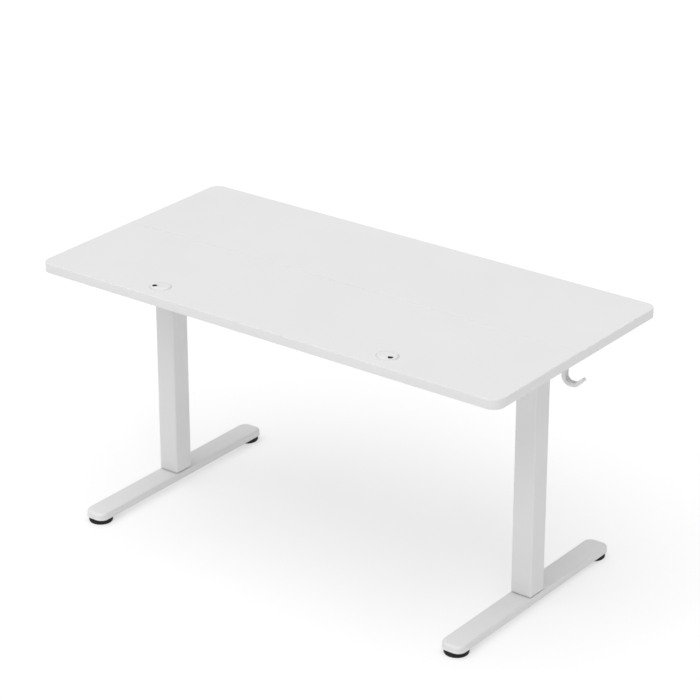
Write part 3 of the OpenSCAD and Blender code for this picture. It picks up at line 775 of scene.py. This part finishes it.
def grommet(side):
    sleeve, lid = side + "_grommet_sleeve", side + "_grommet_lid"
    low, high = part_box(sleeve)
    x, y, foot = (low.x + high.x) / 2, (low.y + high.y) / 2, low.z
    rim = [(FLANGE_R - 0.2 * MM, 0.0), (FLANGE_R, 0.25 * MM)]
    rim += [(FLANGE_R - 2.0 * MM * (1 - math.cos(a)), 0.25 * MM + (FLANGE_HEIGHT - 0.25 * MM) * math.sin(a))
            for a in (math.radians(t) for t in (20, 40, 60, 80, 90))]
    profile = [(SLEEVE_BORE + 0.4 * MM, foot - TOP_Z), (GROMMET_HOLE_R - 0.8 * MM, foot - TOP_Z),
               (GROMMET_HOLE_R - 0.3 * MM, foot - TOP_Z + 0.8 * MM), (GROMMET_HOLE_R - 0.3 * MM, 0.0)] + rim
    profile += [(LID_R + 0.75 * MM, FLANGE_HEIGHT), (LID_R + 0.45 * MM, FLANGE_HEIGHT - 0.35 * MM),
                (LID_R + 0.3 * MM, -0.6 * MM), (SLEEVE_BORE, -0.6 * MM),
                (SLEEVE_BORE, foot - TOP_Z + 0.4 * MM)]
    profile.append(profile[0])
    obj = drop_caps(lathe(sleeve + "_fine", profile, (x, y, TOP_Z)))
    finish_piece(obj, BODIES[sleeve], ["white_plastic"], [sleeve])

    skirt_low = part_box(lid)[0].z - TOP_Z
    dome = [(LID_R, 0.9 * MM), (LID_R, LID_TOP - 0.5 * MM)]
    dome += [(LID_R - 0.5 * MM * (1 - math.cos(a)), LID_TOP - 0.5 * MM + 0.5 * MM * math.sin(a))
             for a in (math.radians(t) for t in (30, 60, 90))]
    cap = lathe(lid + "_fine", [(0, 0.85 * MM), (LID_R - 0.3 * MM, 0.85 * MM)] + dome + [(0, LID_TOP)],
                (x, y, TOP_Z))
    hole = Vector((x + SIDE_SIGN[side] * 12 * MM, y + 5 * MM, TOP_Z))
    inwards = math.atan2(y - hole.y, x - hole.x)

    def teardrop(turn):
        """Drawn in on both flanks, so that the hole comes to a point towards the lid's middle."""
        away = abs((turn - inwards + math.pi) % (2 * math.pi) - math.pi)
        tip = max(0.0, 1 - away / math.radians(38)) ** 1.5
        blunt = 0.5 - 0.5 * math.cos(min(math.pi, max(0.0, away - math.radians(40)) * 1.8))
        return TEARDROP_WAIST + (1 - TEARDROP_WAIST) * max(tip, blunt)

    through = [(0, -10 * MM), (CABLE_HOLE_R, -10 * MM), (CABLE_HOLE_R, 10 * MM), (0, 10 * MM)]
    bore = lathe("bore", through, hole, count=60, scale=teardrop)
    # rubber leaves just under the hole close round a cable, and are near black as painted shade so that the
    # hole looks dark
    leaf_and_shade = in_mm((0, 0.3), (10.5, 0.3), (10.5, 0.8), (0, 0.8))
    leaves_and_shade = lathe(side + "_grommet_leaves", leaf_and_shade, hole, count=48)
    slit = block("slit", (hole.x, hole.y), 8 * MM, 0.3 * MM, (TOP_Z - 2 * MM, TOP_Z + 3 * MM))
    cut(leaves_and_shade, slit)
    finish_piece(leaves_and_shade, BODIES[lid], ["black_rubber"])
    # parting line of the little shutter: an S from the cable hole to the far rim
    away = Vector((x, y, 0)) - Vector((hole.x, hole.y, 0))
    away.normalize()
    across = Vector((-away.y, away.x, 0))
    line = []
    for i in range(25):
        t = i / 24
        p = Vector((hole.x, hole.y, 0)) + away * (CABLE_HOLE_R - 1 * MM + t * 27 * MM)
        line.append(p + across * 4.5 * MM * math.sin(2 * math.pi * t) + Vector((0, 0, TOP_Z + LID_TOP)))
    groove = sweep("groove", line, lambda i: [(-0.45 * MM, 0.3 * MM), (0.45 * MM, 0.3 * MM),
                                                 (0.2 * MM, -0.5 * MM), (-0.2 * MM, -0.5 * MM)])
    cut(cap, bore, groove)
    skirt = lathe("skirt", [(23.2 * MM, skirt_low), (24.7 * MM, skirt_low), (24.7 * MM, 0.84 * MM),
                            (23.2 * MM, 0.84 * MM), (23.2 * MM, skirt_low)], (x, y, TOP_Z))
    obj = tidy(join(lid + "_fine", [cap, drop_caps(skirt)]))
    finish_piece(obj, BODIES[lid], ["white_plastic"], [lid])


# ---- feet and pads

FOOT_LOW, FOOT_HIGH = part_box("left_foot")
FOOT_Z, FOOT_TOP = FOOT_LOW.z, FOOT_HIGH.z
FOOT_WIDTH = FOOT_HIGH.x - FOOT_LOW.x
FOOT_LENGTH = FOOT_HIGH.y - FOOT_LOW.y
FOOT_END_R = 22 * MM
FOOT_EDGE_R = 6 * MM
FOOT_SIDE_INSET = 3.2 * MM
FOOT_END_INSET = 11 * MM
FOOT_WALL = 2.5 * MM
HEM = 3.0 * MM
STEP = 0.7 * MM
FOOT_RIBS = (75 * MM, 165 * MM, 245 * MM)
FOOT_RIB_HALF = 1.2 * MM
SOLE_RINGS = 5


def foot_ring(x, inset, z, end_inset=None):
    """Outline of the foot, drawn in by one amount at the sides and another at the ends."""
    end_inset = inset if end_inset is None else end_inset
    radius = max(FOOT_END_R - inset, 1 * MM)
    outline = rounded_rect((x, 0), FOOT_WIDTH - 2 * inset, FOOT_LENGTH - 2 * end_inset, radius, 14)
    return [(px, py, z) for px, py in outline]


def foot(side):
    """Pressed steel foot: rounded upper edge, a thicker hem along the bottom, open underneath."""
    node = side + "_foot"
    low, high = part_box(node)
    x = (low.x + high.x) / 2
    steps = 8
    rings = [foot_ring(x, 0.7 * MM, FOOT_Z), foot_ring(x, 0.15 * MM, FOOT_Z + 0.3 * MM),
             foot_ring(x, 0, FOOT_Z + 0.9 * MM), foot_ring(x, 0, FOOT_Z + HEM - 0.5 * MM),
             foot_ring(x, STEP * 0.4, FOOT_Z + HEM), foot_ring(x, STEP, FOOT_Z + HEM + 0.4 * MM)]
    for i in range(steps + 1):
        turn = math.radians(90 * i / steps)
        rings.append(foot_ring(x, STEP + FOOT_SIDE_INSET * (1 - math.cos(turn)),
                               FOOT_TOP - FOOT_EDGE_R + FOOT_EDGE_R * math.sin(turn),
                               STEP + FOOT_END_INSET * (1 - math.cos(turn))))
    outer = loft("outer", rings, cap_start=False)
    inner_rings = [foot_ring(x, 0.7 * MM, FOOT_Z), foot_ring(x, FOOT_WALL, FOOT_Z),
                   foot_ring(x, FOOT_WALL, FOOT_TOP - FOOT_WALL - 3 * MM)]
    inner_rings += [foot_ring(x, FOOT_WALL + 3 * MM * (1 - math.cos(a)),
                              FOOT_TOP - FOOT_WALL - 3 * MM + 3 * MM * math.sin(a))
                    for a in (math.radians(t) for t in (30, 60, 90))]
    inner = loft("inner", inner_rings, cap_start=False)
    shell = tidy(join(node + "_shell", [outer, inner]))
    skin = FOOT_TOP - FOOT_WALL
    parts = [shell]
    pad_y = abs(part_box(side + "_rear_pad")[0].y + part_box(side + "_rear_pad")[1].y) / 2
    for sign in (-1, 1):
        boss = [(4.4 * MM, skin), (4.4 * MM, FOOT_Z + 1.6 * MM), (5.0 * MM, FOOT_Z + 1 * MM),
                (9.4 * MM, FOOT_Z + 1 * MM), (10 * MM, FOOT_Z + 1.6 * MM), (10 * MM, skin - 1.5 * MM),
                (11.5 * MM, skin)]
        parts.append(lathe("boss", boss, (x, sign * pad_y, 0), count=48))
        for reach in FOOT_RIBS:
            parts.append(block("rib", (x, sign * reach), FOOT_WIDTH / 2 - FOOT_WALL, FOOT_RIB_HALF,
                               (FOOT_Z + 6 * MM, skin)))
    obj = tidy(join(node + "_fine", parts))
    finish_piece(obj, BODIES[node], ["white_powder_coat"], [node])


def pad(node):
    """Levelling pad: black rim with a grip ring, ribbed sole, hexagon collar and threaded stud."""
    low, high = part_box(node)
    centre = ((low.x + high.x) / 2, (low.y + high.y) / 2, 0)
    r, height = (high.x - low.x) / 2, 12 * MM
    sole = [(0, 1.2 * MM)]
    for i in range(SOLE_RINGS):
        start = (4 + 5 * i) * MM
        sole += [(start, 1.2 * MM), (start + 0.4 * MM, 0), (start + 3 * MM, 0),
                 (start + 3.4 * MM, 1.2 * MM)]
    rim = [(r - 2.5 * MM, 0.0), (r - 1.2 * MM, 0.6 * MM), (r - 0.2 * MM, 2.6 * MM), (r, 3.4 * MM),
           (r, 6.2 * MM), (r - 0.5 * MM, 6.5 * MM), (r - 0.5 * MM, 7.1 * MM), (r, 7.4 * MM),
           (r, height - 2.2 * MM), (r - 0.5 * MM, height - 0.8 * MM), (r - 1.8 * MM, height),
           (r - 4 * MM, height), (r - 5 * MM, height - 0.7 * MM), (13 * MM, height - 0.7 * MM),
           (11.5 * MM, height + 0.4 * MM), (9.5 * MM, height + 0.6 * MM), (0, height + 0.6 * MM)]
    body = lathe("pad_body", sole + rim, centre, count=72)
    collar = lathe("collar", [(0, height), (6.6 * MM, height), (7.2 * MM, height + 0.3 * MM),
                              (7.2 * MM, height + 1.3 * MM), (6.6 * MM, height + 1.6 * MM),
                              (0, height + 1.6 * MM)], centre, count=6)
    paint(collar, 1)
    pitch, thread = 1.25 * MM, [(0, height), (3.4 * MM, height)]
    z = height
    while z < high.z - pitch:
        thread += [(3.4 * MM, z), (4.0 * MM, z + 0.45 * pitch), (4.0 * MM, z + 0.55 * pitch)]
        z += pitch
    thread += [(3.2 * MM, high.z - 0.6 * MM), (2.8 * MM, high.z), (0, high.z)]
    stud = lathe("stud", thread, centre, count=24)
    paint(stud, 1)
    obj = tidy(join(node + "_fine", [body, collar, stud]))
    finish_piece(obj, BODIES[node], ["black_rubber", "zinc_plate"], [node])


# ---- columns and frame

TUBE_R = 5 * MM


def weld_bead(side):
    """Ripple of weld metal where the outer tube meets its head plate."""
    low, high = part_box(side + "_outer_tube")
    x, half = (low.x + high.x) / 2, (high.x - low.x) / 2
    outline = []
    corners = rounded_rect((x, 0), 2 * half, 2 * half, TUBE_R, 10)
    for i, p in enumerate(corners):
        q = corners[(i + 1) % len(corners)]
        gap = math.dist(p, q)
        count = max(1, round(gap / (1.2 * MM)))
        outline += [(p[0] + (q[0] - p[0]) * k / count, p[1] + (q[1] - p[1]) * k / count, high.z)
                    for k in range(count)]

    def section(i):
        radius = (2.3 + 0.35 * math.sin(i * 1.9) + 0.15 * math.sin(i * 0.61)) * MM
        return circle(radius, 8)

    bead = sweep(side + "_column_weld", outline, section, closed=True)
    finish_piece(bead, "upper_frame", ["weld_metal"])


# ---- hook

HOOK_LOW, HOOK_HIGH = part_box("headphone_hook")


def channel(width, height, corner, rim, hollow):
    """Rounded bar section whose inner face is pressed in between two rims."""
    outline = rounded_rect((0, 0), width, height, corner, 4)
    inner = width / 2 - rim
    points = []
    for i, (u, v) in enumerate(outline):
        points.append((u, v))
        if i == 4:
            for step in (1.0, 0.8, -0.8, -1.0):
                depth = hollow if abs(step) < 1 else 0.0
                points.append((inner * step, height / 2 - depth))
    return points


def hook():
    """Strap that hangs under the board's end, bends outwards and ends in a rounded lip."""
    node = "headphone_hook"
    thickness, width, bend_r = 10 * MM, 18 * MM, 24 * MM
    plate, floor_length, lip = 2.5 * MM, 7 * MM, 17 * MM
    strap_x = HOOK_HIGH.x - bend_r
    y = (HOOK_LOW.y + HOOK_HIGH.y) / 2
    middle = bend_r - thickness / 2
    bend_z = HOOK_LOW.z + bend_r
    path = [(strap_x, y, HOOK_HIGH.z - plate * 0.5)]
    path += [(strap_x, y, HOOK_HIGH.z - (HOOK_HIGH.z - bend_z) * k / 6) for k in range(1, 6)]
    path += [(strap_x - middle + middle * math.cos(a), y, bend_z - middle * math.sin(a))
             for a in (math.radians(90 * k / 12) for k in range(13))]
    turn_x = strap_x - middle - floor_length
    path += [(turn_x - middle * math.sin(a), y, bend_z - middle * math.cos(a))
             for a in (math.radians(45 * k / 8) for k in range(9))]
    diagonal = math.sqrt(0.5)
    end = Vector(path[-1])
    out = Vector((-diagonal, 0, diagonal))
    path += [tuple(end + out * lip * k / 5) for k in range(1, 6)]
    tip = Vector(path[-1])
    straight = len(path)
    tip_r = 4.5 * MM
    path += [tuple(tip + out * tip_r * math.sin(math.radians(90 * k / 7))) for k in range(1, 8)]

    def section(i):
        shrink, narrow = 1.0, 0.0
        if i >= straight:
            turn = math.radians(90 * (i - straight + 1) / 7)
            shrink = max(0.03, math.cos(turn))
            narrow = tip_r * (1 - math.cos(turn)) * 0.9
        slim = 1 * MM * max(0.0, min(1.0, (i - straight + 6) / 4))
        w, h = width - 2 * narrow, (thickness - slim) * shrink
        hollow = 2.2 * MM * min(1.0, max(0.0, (straight - 2 - i) / 3)) * min(1.0, i / 2)
        return channel(w, h, min(1.6 * MM, 0.45 * h), 2.6 * MM, hollow)

    strap = sweep("strap", path, section, level=Vector((0, 1, 0)))
    plate_centre = ((HOOK_HIGH.x + strap_x - 24 * MM) / 2, y)
    ring = rounded_rect(plate_centre, 48 * MM, width, 6 * MM, 8)
    inset = rounded_rect(plate_centre, 47 * MM, width - 1 * MM, 5.5 * MM, 8)
    top, bottom = HOOK_HIGH.z, HOOK_HIGH.z - plate
    base = loft("base", [[(a, b, bottom) for a, b in inset], [(a, b, bottom + 0.5 * MM) for a, b in ring],
                         [(a, b, top) for a, b in ring]])
    obj = tidy(join(node + "_fine", [strap, base]), sharp=math.radians(38))
    finish_piece(obj, BODIES[node], ["white_powder_coat"], [node])


# ---- motors, leads, control box and handset

LEAD_R = 2 * MM
GLAND_X, MOTOR_GLAND_Y, HANDSET_GLAND_Y, GLAND_DEPTH = 100, 26, -25, 19
LEAD_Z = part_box("lead_clips")[0].z + 4 * MM
MOTOR_ROUTE = [(439, 24.5, -17), (429, 26, -17), (415, 32, -10), (399, 44, None), (380, 53, None),
               (340, 54, None), (300, 54, None), (250, 54, None), (200, 54, None), (160, 50, -4),
               (135, 38, -10), (116, 28, -16.5), (GLAND_X, MOTOR_GLAND_Y, -GLAND_DEPTH)]
HANDSET_ROUTE = [(460, -311, -10), (460, -298, -8), (457, -282, -4), (446, -264, None), (420, -252, None),
                 (370, -250, None), (300, -240, None), (240, -205, None), (200, -155, None),
                 (186, -110, None), (180, -75, None), (168, -46, -4), (146, -31, -10), (120, -26, -16.5),
                 (GLAND_X, HANDSET_GLAND_Y, -GLAND_DEPTH)]


def lead_path(route, sign=1):
    """Route points in mm, with depths below the board; None is the depth where clips hold the lead."""
    return smooth_path([(sign * x * MM, y * MM, LEAD_Z if depth is None else UNDER_Z + depth * MM)
                        for x, y, depth in route])


def lead(name, path):
    """Round jacket that swells into a ribbed strain relief at each end."""
    reach = [0.0]
    for a, b in zip(path, path[1:]):
        reach.append(reach[-1] + (b - a).length)

    def section(i):
        from_end = min(reach[i], reach[-1] - reach[i])
        swell = max(0.0, 1 - from_end / (11 * MM))
        return circle(LEAD_R * (1 + 0.55 * swell * (0.8 + 0.2 * (i % 2))), 14)

    return sweep(name, path, section)


def leads():
    pair = [lead("motor_lead", lead_path(MOTOR_ROUTE, sign)) for sign in (-1, 1)]
    cords = {"motor_leads": join("motor_leads_fine", pair),
             "handset_lead": lead("handset_lead_fine", lead_path(HANDSET_ROUTE))}
    for node, obj in cords.items():
        finish_piece(obj, BODIES[node], ["lead_jacket"], [node])
    glands = []
    for sign, y in ((-1, MOTOR_GLAND_Y), (1, MOTOR_GLAND_Y), (1, HANDSET_GLAND_Y)):
        profile = [(0, -1), (5.6, -1), (5.6, 1.2), (4.6, 1.6), (4.6, 3.0), (5.0, 3.4), (4.2, 4.6),
                   (4.4, 5.2), (3.4, 7.5), (0, 7.5)]
        glands.append(lathe("gland", [(r * MM, sign * h * MM) for r, h in profile],
                            (sign * GLAND_X * MM, y * MM, UNDER_Z - GLAND_DEPTH * MM), axis="X", count=32))
    finish_piece(join("lead_glands", glands), "upper_frame", ["black_rubber"])


def motor(side):
    """Can with rolled seams, a stepped end bell, brush caps and a bearing boss."""
    node = side + "_motor"
    sign = SIDE_SIGN[side]
    low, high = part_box(node)
    start = low.x if sign > 0 else high.x
    r = (high.z - low.z) / 2
    centre = (start, (low.y + high.y) / 2, (low.z + high.z) / 2)
    length = (high.x - low.x) / MM
    profile = [(0, 1.4), (3.2, 1.4), (3.4, 0.6), (6.6, 0.0), (7.6, 0.6), (8.0, 2.4), (14.0, 3.0),
               (14.6, 2.4), (18.0, 2.4), (19.6, 3.0), (20.3, 4.4), (20.3, 13.0), (19.6, 13.4),
               (19.6, 14.6), (21, 15.2),
               (21, 30), (20.75, 30.3), (20.75, 31.2), (21, 31.5), (21, length - 14), (20.2, length - 13.4),
               (20.2, length - 11.8), (21, length - 11.2), (21, length), (0, length)]
    can = lathe("can", [(min(radius * MM, r), sign * h * MM) for radius, h in profile], centre, axis="X")
    brush_cap = in_mm((0, -1.5), (3.6, -1.5), (3.6, 1.1), (3.0, 1.6), (0, 1.6))
    caps = []
    for turn in (60, 240):
        a = math.radians(turn)
        out = Vector((0, math.cos(a), math.sin(a)))
        middle = Vector(centre) + Vector((sign * 9 * MM, 0, 0)) + out * (r - 2.2 * MM)
        cap = lathe("cap", brush_cap, (0, 0, 0), count=24)
        cap.data.transform(Matrix.Translation(middle) @ out.to_track_quat("Z", "Y").to_matrix().to_4x4())
        paint(cap, 1)
        caps.append(cap)
    obj = join(node + "_fine", [can] + caps)
    obj.data.shade_smooth()
    obj.data.set_sharp_from_angle(angle=SHARP)
    finish_piece(obj, BODIES[node], ["motor_steel", "black_plastic"], [node])


def islands(mesh):
    """The points of each separate solid of a mesh."""
    bm = bmesh.new()
    bm.from_mesh(mesh)
    bmesh.ops.remove_doubles(bm, verts=bm.verts, dist=1e-6)
    seen, found = set(), []
    for first in bm.verts:
        if first in seen:
            continue
        seen.add(first)
        stack, points = [first], []
        while stack:
            vert = stack.pop()
            points.append(vert.co.copy())
            for edge in vert.link_edges:
                other = edge.other_vert(vert)
                if other not in seen:
                    seen.add(other)
                    stack.append(other)
        found.append(points)
    bm.free()
    return found


def fasteners():
    """Screw heads with their drives: a cross in the wood screws, a hexagon in the frame bolts."""
    obj = refined("fasteners", 0.2 * MM)
    cutters = []
    for points in islands(frame["nodes"]["fasteners"].data):
        low = Vector([min(p[i] for p in points) for i in range(3)])
        high = Vector([max(p[i] for p in points) for i in range(3)])
        size = high - low
        axis = max(range(3), key=lambda i: size[i])
        middle = (low + high) / 2
        spread = {}
        for sign, level in ((-1, low[axis]), (1, high[axis])):
            near = [p for p in points if abs(p[axis] - level) < 1.5 * MM]
            spread[sign] = max((Vector([0 if i == axis else (p - middle)[i] for i in range(3)])).length
                               for p in near)
        sign = max(spread, key=spread.get)
        out = Vector([sign if i == axis else 0 for i in range(3)])
        face = middle + out * size[axis] / 2
        turn = Matrix.Translation(face) @ out.to_track_quat("Z", "Y").to_matrix().to_4x4()
        if size[axis] > 18 * MM:
            shapes = [block("cross", (0, 0), a, b, (-1.5 * MM, MM))
                      for a, b in ((2.4 * MM, 0.6 * MM), (0.6 * MM, 2.4 * MM))]
        else:
            shapes = [loft("hexagon", [[(u, v, z) for u, v in circle(2.4 * MM, 6)] for z in (-2 * MM, MM)])]
        for shape in shapes:
            shape.data.transform(turn)
            cutters.append(shape)
    for group in (cutters[::2], cutters[1::2]):
        cut(obj, join("drives", group))
    tidy(obj)


def control_box_details():
    low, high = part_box("control_box_case")
    heads, ribs = [], []
    head = in_mm((0, 0.4), (0.9, 0.4), (1.0, -0.9), (3.0, -0.6), (3.4, 0.2), (0, 0.6))
    for sx in (-1, 1):
        for sy in (-1, 1):
            x, y = sx * (high.x - 9 * MM), sy * (high.y - 9 * MM)
            heads.append(lathe("head", head, (x, y, low.z), count=24))
    rib = [(1.2 * MM, 0.2 * MM, low.z + 5 * MM), (1.6 * MM, 0.9 * MM, low.z + 7 * MM),
           (1.6 * MM, 0.9 * MM, high.z - 6 * MM), (1.2 * MM, 0.2 * MM, high.z - 4 * MM)]
    for k in range(9):
        x = (-64 + 16 * k) * MM
        for sy in (-1, 1):
            y = sy * high.y
            ribs.append(loft("rib", [[(x - a, y - sy * MM, z), (x + a, y - sy * MM, z),
                                      (x + a, y + sy * d, z), (x - a, y + sy * d, z)] for a, d, z in rib]))
    finish_piece(join("control_box_screws", heads), "upper_frame", ["zinc_plate"])
    finish_piece(tidy(join("control_box_ribs", ribs)), "upper_frame", ["black_plastic"])


KEYS = ("memory_key_1", "memory_key_2", "memory_key_3", "down_key", "up_key")


def handset_details():
    """Bezel round the window, and pictograms on the keys: dots for the memories, arrows for the motion."""
    low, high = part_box("handset_window")
    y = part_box("handset_case")[0].y
    x, z = (low.x + high.x) / 2, (low.z + high.z) / 2
    path = [(x + u, y + 0.05 * MM, z + v)
            for u, v in rounded_rect((0, 0), high.x - low.x + MM, high.z - low.z + MM, 1.4 * MM, 6)]
    bezel = sweep("handset_bezel", path, lambda i: circle(0.55 * MM, 8), closed=True,
                  level=Vector((0, 1, 0)))
    finish_piece(bezel, "upper_frame", ["white_plastic"])
    for node in KEYS:
        key_low, key_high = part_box(node)
        kx, kz, front = (key_low.x + key_high.x) / 2, (key_low.z + key_high.z) / 2, key_low.y
        marks = []
        if node.startswith("memory"):
            count = int(node[-1])
            for k in range(count):
                centre = (kx + (k - (count - 1) / 2) * 2.8 * MM, front, kz)
                marks.append([(centre[0] + u, centre[2] + v) for u, v in circle(0.8 * MM, 20)])
        else:
            tip = 2.6 * MM * (1 if node == "up_key" else -1)
            marks.append([(kx - 3 * MM, kz - tip * 0.6), (kx + 3 * MM, kz - tip * 0.6), (kx, kz + tip)])
        solids = [loft("mark", [[(u, front + d, v) for u, v in mark] for d in (0.3 * MM, -0.12 * MM)])
                  for mark in marks]
        finish_piece(join(node + "_mark", solids), BODIES[node], ["key_mark"])


# ---- build everything

make_camera()
make_studio()
make_floor()

board("rear_board", 1, [(SIDE_SIGN[s] * GROMMET_X, GROMMET_Y) for s in SIDES])
board("front_board", -1, [])
for side in SIDES:
    grommet(side)
    foot(side)
    weld_bead(side)
    motor(side)
    for end in ("front", "rear"):
        pad(f"{side}_{end}_pad")
hook()
leads()
fasteners()
control_box_details()
handset_details()

SINGLE_BEVELS = {
    "front_rail": 0.6, "rear_rail": 0.6, "control_box_case": 0.5, "control_box_base": 0.5,
    "mains_inlet": 0.35, "handset_case": 0.5, "handset_window": 0.15, "seam_plates": 0.4,
    "lead_clips": 0.4, **{key: 0.3 for key in KEYS},
}
BEVELS = {
    "side_bracket": 0.7, "column_head": 0.6, "outer_tube": 0.45, "inner_tube": 0.4, "gearbox_case": 1.0,
    "foot_bolts": 0.4, "screw_nut": 0.4, "lower_glides": 0.3, "upper_glides": 0.3,
    "screw_bearing": 0.3, "worm_wheel": 0.15, "lift_screw": 0.4, "worm_shaft": 0.3,
}
for side in SIDES:
    for part, width in BEVELS.items():
        refined(f"{side}_{part}", width * MM)
for node, width in SINGLE_BEVELS.items():
    refined(node, width * MM)

for node, obj in frame["nodes"].items():
    for i in range(max(1, len(obj.material_slots))):
        if not obj.material_slots:
            obj.data.materials.append(MATERIALS[SLOTS[node]])
        else:
            obj.material_slots[i].material = MATERIALS[SLOTS[node]]
